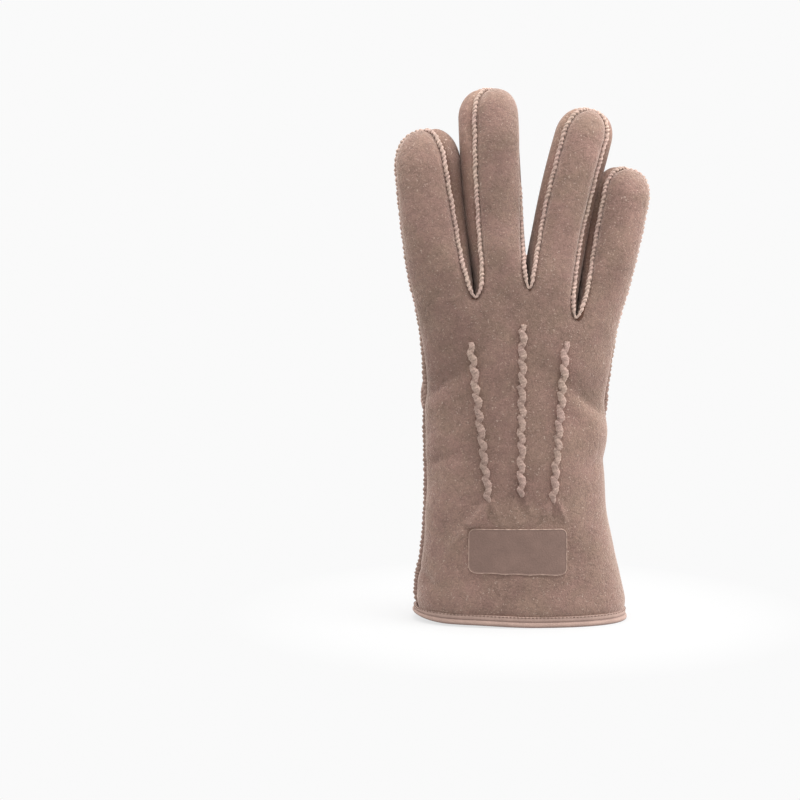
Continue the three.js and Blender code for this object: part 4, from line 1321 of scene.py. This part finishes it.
# Slow waves that make the work uneven: in the stitches' pitch, the welt's size and its line.
UNEVEN_PITCH = ((0.13, 0.83, 0.0), (0.1, 0.31, 1.7))
UNEVEN_SIZE = ((0.07, 1.27, 0.6), (0.05, 0.47, 0.0))
UNEVEN_LINE = ((0.14, 0.55, 0.0), (0.1, 0.19, 2.0))
# How deep the painted shade is over a side seam's whole welt below the knuckles.
LOW_SIDE_SHADE = 0.62
# The thread runs round the welt through these angles, and stands a little out of its notch.
THREAD_TURNS = np.radians([-30, 0, 30, 60, 90, 120, 150, 180, 210])
THREAD_RADIUS = 0.21
THREAD_SIDES = 5
THREAD_PROUD = 0.03

EDGE_COLOUR = (0.5, 0.362, 0.308)
RAW_EDGE = make_suede("raw_edge", EDGE_COLOUR, 0.3, 0.0003, SEAM_SHADE, 0.9, sheen=0.6)
THREAD = make_suede("thread", (0.6, 0.46, 0.4), patches=0.15, depth=0.0001)
DARK_THREAD = make_suede("dark_thread", (0.32, 0.22, 0.185), patches=0.15, depth=0.0001)


def tube_faces(count, rings, sides):
    """The quads round a number of like tubes, each made of rings, without their ends."""
    faces = round_faces(np.arange(rings * sides).reshape(rings, sides), False)
    return (faces[None] + (np.arange(count) * rings * sides)[:, None, None]).reshape(-1, 4)


def closed_tube(grid):
    """The points and faces of a tube, from its grid of rings, each end drawn to its middle."""
    rings, sides = grid.shape[:2]
    first, last = grid[0].mean(axis=0), grid[-1].mean(axis=0)
    points = np.concatenate([grid.reshape(-1, 3), [first, last]])
    ids = np.arange(rings * sides).reshape(rings, sides)
    first_end = np.full((1, sides), rings * sides)
    return points, round_faces(np.concatenate([first_end, ids, first_end + 1]), False)


def path_frame(line, facing):
    """The directions across a path and outwards from it, square to it and to each other."""
    along = unit(np.gradient(line, axis=0))
    across = unit(np.cross(along, facing))
    return across, unit(np.cross(across, along))


def at_step(values, place):
    """Values of an even path at a place along it, counted in its steps."""
    return values_at(np.arange(len(values)), values, place)


def thin_tubes(centre, away, radius, sides):
    """The points and faces of many thin tubes at once; away is square to each one's direction."""
    forward = unit(np.gradient(centre, axis=1))
    beside = unit(np.cross(forward, away))
    away = np.cross(beside, forward)
    ring = np.linspace(0, 2 * np.pi, sides, endpoint=False)
    tubes = (centre[:, :, None] + radius * np.cos(ring)[:, None] * away[:, :, None]
             + radius * np.sin(ring)[:, None] * beside[:, :, None])
    return tubes.reshape(-1, 3), tube_faces(*tubes.shape[:3])


def sew(name, line, facing):
    """A seam along a path: the beaded welt, and the stitches that pinch it.

    The welt's section is an ellipse, which shrinks towards a notch at each stitch as the size of
    a cosine does. The angle round the section shifts the notches, so that they slant. Each
    stitch is a thin tube that lies in a notch.
    """
    half_width, half_height, top = next(WELTS[kind] for kind in WELTS if name.startswith(kind))
    across, out = path_frame(line, facing)
    place = np.arange(len(line)) * SEAM_STEP
    is_side = name.startswith("side")
    uneven = waves(place, *UNEVEN_PITCH)
    fuller = 1 + waves(place, *UNEVEN_SIZE)
    middle = line + waves(place, *UNEVEN_LINE)[:, None] * across
    turn = np.linspace(0, 2 * np.pi, WELT_SIDES, endpoint=False)
    phase = (place / STITCH_PITCH + uneven)[:, None] + STITCH_SLANT * np.cos(turn)
    bead = np.abs(np.cos(np.pi * phase)) ** BEAD_POWER
    taper = lerp(WELT_END, 1.0, np.sqrt(np.minimum(1, np.minimum(place, place[::-1]) / WELT_TAPER)))
    by_crotch = bell(place, CROTCH_REACH, place[np.argmin(line[:, 2])])
    slim = 1 - CROTCH_THIN * by_crotch * name.startswith(("back", "palm"))
    size = (1 - PINCH * (1 - bead)) * (taper * fuller * slim)[:, None]
    lift = top - half_height - (SIDE_SEAM_SUNK if is_side else TIP_SEAM_SUNK) * turned_under(line)
    raised = lift[:, None] + half_height * np.sin(turn) * size
    sideways = half_width * np.cos(turn) * size
    welt = middle[:, None] + sideways[..., None] * across[:, None] + raised[..., None] * out[:, None]
    points, faces = closed_tube(welt)
    # Painted shade in the notches between beads, and over a side seam's whole welt below the knuckles.
    low_side_shade = LOW_SIDE_SHADE * (1 - smooth_step(line[:, 2], *SIDE_DIP_NARROWS)) * is_side
    notch = np.concatenate([np.maximum(1 - bead, low_side_shade[:, None]).ravel(), [0, 0]])
    new_piece(f"{name}_welt", points, faces, RAW_EDGE, masks={"painted_shade": notch})

    stitch = np.arange(1, int(place[-1] / STITCH_PITCH - 1))[:, None] + 0.5
    notch_phase = stitch - STITCH_SLANT * np.cos(THREAD_TURNS)
    where = np.interp(notch_phase, place / STITCH_PITCH + uneven, np.arange(len(line)))
    side, upward = at_step(across, where), at_step(out, where)
    cosine, sine = np.cos(THREAD_TURNS)[None, :, None], np.sin(THREAD_TURNS)[None, :, None]
    pinched = (1 - PINCH + THREAD_PROUD) * at_step(slim[:, None], where)
    centre = at_step(middle, where) + half_width * pinched * cosine * side
    centre = centre + (at_step(lift[:, None], where) + half_height * pinched * sine) * upward
    points, faces = thin_tubes(centre, cosine * side + sine * upward, THREAD_RADIUS, THREAD_SIDES)
    thread = DARK_THREAD if is_side else THREAD
    new_piece(f"{name}_thread", points, faces, thread)


for seam_name, (seam_line, seam_facing) in SEAMS.items():
    sew(seam_name, seam_line, seam_facing)


# The points: three decorative tucks on the back, overcast with a thread that crosses each ridge
# slantwise and pinches it, so that it looks like a plait.

POINTS = {
    "index": ((-23.8, 129.9), (-15.4, 57.1)),
    "middle": ((-0.4, 138.1), (-0.9, 59.8)),
    "ring": ((19.4, 130.4), (13.7, 57.1)),
}
# A ridge: half width, height and the powers of its section, across and upwards.
POINT_HALF_WIDTH = 1.72
POINT_HEIGHT = 1.8
POINT_ACROSS_POWER, POINT_UP_POWER = 0.8, 0.7
POINT_STEP = 0.2
POINT_SIDES = 24
# The plait: how far apart its notches are, how far they slant in that measure and how narrow they are,
# how deep they bite into the ridge's sides and its top, and how far the ridge sways between them.
POINT_PERIOD = 6.4
POINT_SLANT = 0.2
POINT_SHARPNESS = 7
POINT_BITE, POINT_GROOVE = 0.34, 0.07
POINT_SWAY, POINT_SWAY_START = 0.34, 0.1
# Fine strands cross it: how far apart, how high, and how many times they go round it.
STRAND_PITCH, STRAND_HEIGHT, STRAND_TURNS = 1.4, 0.045, 3
# It narrows to a share of its size over a length at its top, and at its foot.
POINT_TOP, POINT_TOP_LENGTH, POINT_TOP_POWER = 0.55, 3.0, 0.7
POINT_FOOT, POINT_FOOT_LENGTH = 0.16, 4.0
POINT_THREAD = 0.15
POINT_THREAD_TURNS = np.radians([200, 180, 155, 130, 105, 75, 50, 25, 0, -20])
PLAIT_COLOUR = (0.345, 0.245, 0.207)
POINT_EDGE = make_suede("plaited_edge", PLAIT_COLOUR, 0.4, 0.0004, SEAM_SHADE, 0.9, sheen=0.6)


def ridge_bite(sideways):
    """How far a notch cuts into a ridge: little over its top and more at its sides."""
    return lerp(POINT_GROOVE, POINT_BITE, smooth_step(np.abs(sideways), 0.25, 0.9))


for point_name, ((top_x, top_z), (foot_x, foot_z)) in POINTS.items():
    count = int(math.hypot(top_x - foot_x, top_z - foot_z) / POINT_STEP)
    share = np.linspace(0, 1, count + 1)
    x, z = lerp(foot_x, top_x, share), lerp(foot_z, top_z, share)
    line = over_hand("back", x, z)
    beside = over_hand("back", x + 1, z) - line
    along = unit(np.gradient(line, axis=0))
    out = unit(np.cross(beside, along))
    across = unit(np.cross(along, out))
    place = share * count * POINT_STEP
    wave = place / POINT_PERIOD + waves(place, (0.07, 0.5, 0.0), (0.06, 0.23, top_x))
    turn = np.linspace(0, 2 * np.pi, POINT_SIDES, endpoint=False)
    cosine, sine = np.cos(turn), np.sin(turn)
    bite_phase = wave[:, None] + POINT_SLANT * (1 + cosine)
    bite = (0.5 + 0.5 * np.cos(2 * np.pi * bite_phase)) ** POINT_SHARPNESS
    near_top = np.minimum(1, (place[-1] - place) / POINT_TOP_LENGTH) ** POINT_TOP_POWER
    near_foot = np.sqrt(np.minimum(1, POINT_FOOT + place / POINT_FOOT_LENGTH))
    taper = lerp(POINT_TOP, 1.0, near_top) * near_foot
    sway = POINT_SWAY * np.sin(2 * np.pi * (wave + POINT_SWAY_START))
    sway += waves(place, (0.16, 0.37, top_z))
    fuller = 1 + waves(place, (0.06, 0.9, top_z), (0.05, 2.3, top_x))
    strand_phase = 2 * np.pi * place[:, None] / STRAND_PITCH + STRAND_TURNS * turn
    size = 1 - bite * ridge_bite(cosine) + STRAND_HEIGHT * np.sin(strand_phase)
    size *= (taper * fuller)[:, None]
    sideways = sway[:, None] + signed_power(cosine, POINT_ACROSS_POWER) * POINT_HALF_WIDTH * size
    lift = signed_power(sine, POINT_UP_POWER) * POINT_HEIGHT * size
    ridge = line[:, None] + sideways[..., None] * across[:, None] + lift[..., None] * out[:, None]
    points, faces = closed_tube(ridge)
    # Painted shade in the plait's notches, deepest at its sides.
    notch = (bite * lerp(0.3, 1.0, np.abs(cosine))).ravel()
    new_piece(
        f"tuck_{point_name}", points, faces[:, ::-1], POINT_EDGE,
        [f"point_{point_name}"], {"painted_shade": np.concatenate([notch, [0, 0]])},
    )

    # Its thread lies in the notches, from one foot of the ridge over its top to the other.
    cosine, sine = np.cos(POINT_THREAD_TURNS), np.sin(POINT_THREAD_TURNS)
    stitch = np.arange(1, int(wave[-1]))[:, None]
    spot = np.interp(stitch - POINT_SLANT * (1 + cosine), wave, np.arange(count + 1))
    narrow = (1 + THREAD_PROUD - ridge_bite(cosine))[:, None] * at_step((taper * fuller)[:, None], spot)
    side, upward = at_step(across, spot), at_step(out, spot)
    sideways = signed_power(cosine, POINT_ACROSS_POWER)[:, None] * POINT_HALF_WIDTH * narrow
    lift = signed_power(sine, POINT_UP_POWER)[:, None] * POINT_HEIGHT * narrow
    centre = at_step(line, spot) + (at_step(sway[:, None], spot) + sideways) * side + lift * upward
    away = cosine[:, None] * side + sine[:, None] * upward
    points, faces = thin_tubes(centre, away, POINT_THREAD, THREAD_SIDES)
    new_piece(f"tuck_thread_{point_name}", points, faces, DARK_THREAD)


# The patch: a small bare piece of smoother leather, glued and pressed near the cuff, with its cut edge
# pressed up into a thin pale rim.

PATCH_THICKNESS = 0.5
PATCH_CORNER = 3.0
PATCH_CORNER_STEPS = 12
PATCH_AROUND = 240
PATCH_INNER_RINGS = 13
# Its lower edge lies a little lower than a plain rectangle's, slopes down to the right and is wavy.
PATCH_LOWER = 0.3
PATCH_SLOPE = 0.9
PATCH_WAVE = (0.16, 0.55, 0.0)
# Its section from the edge inwards: inset, height above the back and how pale the rim is.
PATCH_SECTION = [
    (0.0, -0.5, 0.3), (0.0, 0.36, 0.5), (0.05, 0.52, 0.9), (0.14, 0.62, 1.0), (0.26, 0.64, 0.7),
    (0.38, 0.58, 0.25), (0.48, 0.48, 0.0), (0.7, 0.44, 0.0), (1.0, 0.46, 0.0), (2.0, 0.5, 0.0),
]


def patch_outline(inset):
    """The patch's outline in the front view, drawn in by an inset, with its corners round."""
    radius = PATCH_CORNER - inset
    outline = []
    corners = [
        (PATCH_RIGHT - PATCH_CORNER, PATCH_TOP - PATCH_CORNER, 0),
        (PATCH_LEFT + PATCH_CORNER, PATCH_TOP - PATCH_CORNER, 90),
        (PATCH_LEFT + PATCH_CORNER, PATCH_BOTTOM + PATCH_CORNER, 180),
        (PATCH_RIGHT - PATCH_CORNER, PATCH_BOTTOM + PATCH_CORNER, 270),
    ]
    for x, z, start in corners:
        angle = np.radians(start + np.linspace(0, 90, PATCH_CORNER_STEPS + 1))
        outline.append(np.stack([x + radius * np.cos(angle), z + radius * np.sin(angle)], axis=1))
    outline = np.concatenate(outline)
    closed = np.concatenate([outline, outline[:1]])
    length = lengths_along(closed)
    outline = values_at(length, closed, np.linspace(0, length[-1], PATCH_AROUND + 1)[:-1])
    low = np.clip((PATCH_TOP - outline[:, 1]) / (PATCH_TOP - PATCH_BOTTOM), 0, 1)
    right = (outline[:, 0] - PATCH_LEFT) / (PATCH_RIGHT - PATCH_LEFT)
    outline[:, 1] -= low * (PATCH_SLOPE * right + waves(outline[:, 0], PATCH_WAVE) + PATCH_LOWER)
    return outline


def make_leather(name, colour, rim_or_shade_colour, roughness):
    """Smooth leather: fine pores, a soft tonal change, and a second colour where the rim mask is: a
    pale edge, or painted shade.
    """
    material, tree, shader = new_material(name, sheen=0.08, specular=0.35, roughness=roughness)
    place = add_node(tree, "ShaderNodeTexCoord").outputs["Object"]
    clouds = add_range(tree, add_noise(tree, place, 120, 4, 0.6), 0.3, 0.7)
    pores = add_range(tree, add_noise(tree, place, 1500, 3, 0.6), 0.3, 0.7)
    tone = add_math(tree, "MULTIPLY", clouds, CLOUDS_SHARE)
    tone = add_math(tree, "MULTIPLY_ADD", pores, PORES_SHARE, tone)
    finished = add_mix(tree, shade(colour, LEATHER_DARK), shade(colour, LEATHER_LIGHT), tone)
    rim = add_node(tree, "ShaderNodeAttribute", attribute_name="rim").outputs["Fac"]
    finished = add_mix(tree, finished, (*rim_or_shade_colour, 1), rim)
    tree.links.new(finished, shader.inputs["Base Color"])
    bump = add_node(tree, "ShaderNodeBump", {"Strength": 1.0, "Distance": GRAIN_DEPTH})
    tree.links.new(tone, bump.inputs["Height"])
    tree.links.new(bump.outputs["Normal"], shader.inputs["Normal"])
    return material


# How much its soft tonal change and its pores count, how dark and light it is for its colour, and how
# deep its grain is.
CLOUDS_SHARE, PORES_SHARE = 0.6, 0.4
LEATHER_DARK, LEATHER_LIGHT = 0.84, 1.18
GRAIN_DEPTH = 0.0002
PATCH_COLOUR = (0.19, 0.12, 0.097)
PATCH_RIM_COLOUR = (0.52, 0.37, 0.3)
PATCH_LEATHER = make_leather("patch_leather", PATCH_COLOUR, PATCH_RIM_COLOUR, roughness=0.62)

patch_middle = np.array([(PATCH_LEFT + PATCH_RIGHT) / 2, (PATCH_BOTTOM + PATCH_TOP) / 2])
patch_rings = [patch_outline(inset) for inset, _, _ in PATCH_SECTION]
patch_inner = patch_rings[-1] - patch_middle
for share in np.linspace(1, 0, PATCH_INNER_RINGS + 1)[1:]:
    patch_rings.append(patch_middle + patch_inner * share)
patch_flat = np.stack(patch_rings)
ring_rows = np.array(PATCH_SECTION + PATCH_SECTION[-1:] * PATCH_INNER_RINGS)
patch_grid = over_hand("back", patch_flat[..., 0], patch_flat[..., 1])
patch_grid[..., 1] -= ring_rows[:, 1:2]
patch_ids = np.arange(patch_flat.size // 2).reshape(patch_flat.shape[:2])
patch_ids[-1] = patch_ids[-1, 0]
# Its rim is rubbed in places.
rim_place = np.arange(PATCH_AROUND)
rim_wear = 0.62 + 0.38 * np.sin(0.31 * rim_place) * np.sin(0.87 * rim_place + 1.0)
patch_rim = (ring_rows[:, 2:] * rim_wear).ravel()
kept, patch_faces = np.unique(round_faces(patch_ids, False), return_inverse=True)
thicken(new_piece(
    "bare_patch", patch_grid.reshape(-1, 3)[kept], patch_faces.reshape(-1, 4), PATCH_LEATHER,
    ["patch"], {"rim": patch_rim[kept]},
), PATCH_THICKNESS)


# The hem binding: a strip of leather wrapped round the lower edge, stitched through near its top, with
# a fuller roll below that the glove stands on.

BINDING_AROUND = 360
# Its section: offset from the leather's face and height, with the groove above its roll.
BINDING_GROOVE = 2.58
BINDING_SECTION = [
    (0.9, 0.0), (1.45, 0.1), (1.85, 0.4), (2.05, 0.95), (2.0, 1.5), (1.7, 2.05), (1.3, 2.4),
    (1.05, BINDING_GROOVE), (1.25, 2.8), (1.42, 3.2), (1.42, 3.8), (1.32, 4.15), (1.22, 4.35),
    (1.27, 4.55), (1.2, 4.75), (0.9, 4.95), (0.2, 5.0), (0.0, 3.6), (-0.1, 1.5), (-2.5, 1.4),
    (-2.6, 5.0), (-3.2, 5.1), (-3.8, 4.6), (-3.8, 0.6), (-3.4, 0.0),
]
# It is painted with shade at its foot, by the floor, and in its groove.
FOOT_SHADE, FOOT_HEIGHT = 0.8, 1.0
GROOVE_SHADE, GROOVE_REACH = 0.5, 0.16

# The stitches through it.
HEM_STITCH_PITCH = 1.7
HEM_STITCH_LENGTH = 1.15
HEM_STITCH_HEIGHT = 4.65
HEM_STITCH_OUT = 1.35
HEM_STITCH_RADIUS = 0.26
HEM_STITCH_SIDES = 6
# A stitch's rings: where each is between its ends, -1 and 1, and its size.
HEM_STITCH_RINGS = [(-1.0, 0.15), (-0.75, 0.8), (0.0, 1.0), (0.75, 0.8), (1.0, 0.15)]

BINDING_COLOUR = (0.37, 0.254, 0.212)
BINDING_SHADE = (0.1, 0.066, 0.06)
BINDING_LEATHER = make_leather("binding_leather", BINDING_COLOUR, BINDING_SHADE, roughness=0.78)
HEM_THREAD = make_suede("hem_thread", (0.2, 0.13, 0.105), patches=0.15, depth=0.0001)


def hem_path(turn):
    """The leather's face round the hem at floor level, and its outward direction there."""
    small = 0.01

    def around(angle):
        angle = np.mod(angle, 2 * np.pi)
        back = hand_point("back", np.minimum(angle, np.pi), np.zeros_like(angle))
        palm = hand_point("palm", np.minimum(2 * np.pi - angle, np.pi), np.zeros_like(angle))
        return np.where((angle < np.pi)[:, None], back, palm)

    step = around(turn + small) - around(turn - small)
    return around(turn), unit(np.stack([step[:, 1], -step[:, 0], 0 * turn], axis=1))


def even_hem(count):
    """Even steps round the hem: points, outward directions and how long it is."""
    line, out = hem_path(np.linspace(0, 2 * np.pi, 4001))
    length = lengths_along(line)
    at = np.linspace(0, length[-1], count + 1)[:-1]
    return values_at(length, line, at), unit(values_at(length, out, at)), length[-1]


hem_line, hem_out, hem_length = even_hem(BINDING_AROUND)
section = np.array(BINDING_SECTION)
binding_grid = hem_line[:, None] + section[None, :, :1] * hem_out[:, None]
binding_grid[..., 2] = section[None, :, 1] * (hem_top(hem_line[:, :1]) / HEM_HEIGHT)
binding_shade = FOOT_SHADE * (1 - smooth_step(section[:, 1], 0, FOOT_HEIGHT))
binding_shade += GROOVE_SHADE * bell(section[:, 1], GROOVE_REACH, BINDING_GROOVE)
binding_ids = np.arange(binding_grid.size // 3).reshape(binding_grid.shape[:2])
binding_faces = round_faces(np.concatenate([binding_ids, binding_ids[:1]]), False)
new_piece(
    "hem_roll", binding_grid.reshape(-1, 3), binding_faces, BINDING_LEATHER,
    ["hem_binding"], {"rim": np.tile(binding_shade, BINDING_AROUND)},
)

stitch_count = int(hem_length / HEM_STITCH_PITCH)
stitch_line, stitch_out, _ = even_hem(stitch_count)
stitch_along = unit(np.roll(stitch_line, -1, axis=0) - np.roll(stitch_line, 1, axis=0))
stitch_share, stitch_size = np.array(HEM_STITCH_RINGS).T
ring = np.linspace(0, 2 * np.pi, HEM_STITCH_SIDES, endpoint=False)
ahead = (stitch_share * HEM_STITCH_LENGTH / 2)[:, None, None]
outwards = (HEM_STITCH_OUT + HEM_STITCH_RADIUS * np.cos(ring) * stitch_size[:, None])[..., None]
stitch_grid = stitch_line[:, None, None] + ahead * stitch_along[:, None, None]
stitch_grid = stitch_grid + outwards * stitch_out[:, None, None]
stitch_grid[..., 2] = (hem_top(stitch_line[:, 0]) - HEM_HEIGHT + HEM_STITCH_HEIGHT)[:, None, None]
stitch_grid[..., 2] += HEM_STITCH_RADIUS * np.sin(ring) * stitch_size[:, None]
stitch_faces = tube_faces(*stitch_grid.shape[:3])
new_piece("hem_stitches", stitch_grid.reshape(-1, 3), stitch_faces, HEM_THREAD)


# The floor: pale and plain, and so bright that the glove leaves only a faint shadow on it. Far from the
# glove it takes on the white of the surroundings, so that no edge shows behind it.

WHITE = 0.955
FLOOR_RADIUS = 8.0
FLOOR_SIDES = 64
# How far from the glove the floor starts and ends to fade, and its share of white at either.
FLOOR_FADE = (0.055, 0.14)
FLOOR_WHITE = (0.72, 1.0)

floor_mesh = bpy.data.meshes.new("floor")
floor_angle = np.linspace(0, 2 * np.pi, FLOOR_SIDES, endpoint=False)
floor_rim = np.stack([np.cos(floor_angle), np.sin(floor_angle), 0 * floor_angle], axis=1) * FLOOR_RADIUS
floor_mesh.from_pydata(floor_rim, [], [list(range(FLOOR_SIDES))])
floor = bpy.data.objects.new("floor", floor_mesh)
bpy.context.scene.collection.objects.link(floor)
floor_material = bpy.data.materials.new("floor")
floor_material.use_nodes = True
tree = floor_material.node_tree
shader = tree.nodes["Principled BSDF"]
shader.inputs["Base Color"].default_value = (0.6, 0.6, 0.6, 1)
shader.inputs["Roughness"].default_value = 0.9
shader.inputs["Specular IOR Level"].default_value = 0.0
place = add_node(tree, "ShaderNodeTexCoord").outputs["Object"]
away = add_node(tree, "ShaderNodeVectorMath", operation="LENGTH")
tree.links.new(place, away.inputs[0])
glow = add_node(tree, "ShaderNodeEmission", {"Color": (WHITE, WHITE, WHITE, 1), "Strength": 1.0})
blend = add_node(tree, "ShaderNodeMixShader")
white_share = add_range(tree, away.outputs["Value"], *FLOOR_FADE, *FLOOR_WHITE)
feed(tree, blend.inputs, (white_share, shader.outputs[0], glow.outputs[0]))
tree.links.new(blend.outputs[0], tree.nodes["Material Output"].inputs["Surface"])
floor_mesh.materials.append(floor_material)


# The light: white surroundings, brightest above and behind, with broad soft lights: a strong one high
# on the right, and weaker ones on the left, above and level with the glove on the right. Seen
# directly, the surroundings are even white.

# The way to the brightest part, the cosines of the angle to it between which the light grows, and how
# bright it is at either.
BRIGHTEST_WAY = (0.4, 0.7, 0.6)
SKY_COSINES = (-0.8, 0.9)
SKY_BRIGHTNESS = (0.35, 1.8)

world = bpy.data.worlds.new("surroundings")
world.use_nodes = True
tree = world.node_tree
background = tree.nodes["Background"]
direction = add_node(tree, "ShaderNodeTexCoord").outputs["Generated"]
toward = add_node(tree, "ShaderNodeVectorMath", operation="DOT_PRODUCT")
feed(tree, toward.inputs, (direction, BRIGHTEST_WAY))
lit = add_range(tree, toward.outputs["Value"], *SKY_COSINES, *SKY_BRIGHTNESS)
seen = add_node(tree, "ShaderNodeLightPath").outputs["Is Camera Ray"]
tree.links.new(add_mix(tree, lit, (WHITE, WHITE, WHITE, 1), seen), background.inputs["Color"])
bpy.context.scene.world = world
bpy.context.scene.view_settings.view_transform = "Standard"


def soft_light(name, place, aim, size, power):
    """A square area light at a place, turned towards another."""
    light = bpy.data.lights.new(name, "AREA")
    light.size = size
    light.energy = power
    lamp = bpy.data.objects.new(name, light)
    lamp.location = place
    way = np.array(aim) - np.array(lamp.location)
    turn = math.atan2(way[1], way[0]) - math.pi / 2
    tilt = math.pi / 2 + math.atan2(way[2], math.hypot(way[0], way[1]))
    lamp.rotation_euler = (tilt, 0, turn)
    bpy.context.scene.collection.objects.link(lamp)


GLOVE_MIDDLE = (0.0, 0.0, 0.12)
soft_light("key", (1.0, -0.35, 1.2), GLOVE_MIDDLE, 0.8, 9.0)
soft_light("fill", (-1.1, -0.3, 0.9), GLOVE_MIDDLE, 0.9, 4.0)
soft_light("top", (0.0, -0.12, 0.75), (0.0, 0.0, 0.2), 0.5, 3.0)
soft_light("side", (0.9, 0.0, 0.25), GLOVE_MIDDLE, 0.6, 4.0)


# The camera: at the photograph's distance and height, looking slightly down.

camera_data = bpy.data.cameras.new("camera")
camera_data.lens = 97.4
camera_data.sensor_width = 36
camera = bpy.data.objects.new("camera", camera_data)
camera.location = (-0.05601, -1.00426, 0.2063)
camera.rotation_euler = (math.radians(84), 0, 0)
bpy.context.scene.collection.objects.link(camera)
bpy.context.scene.camera = camera
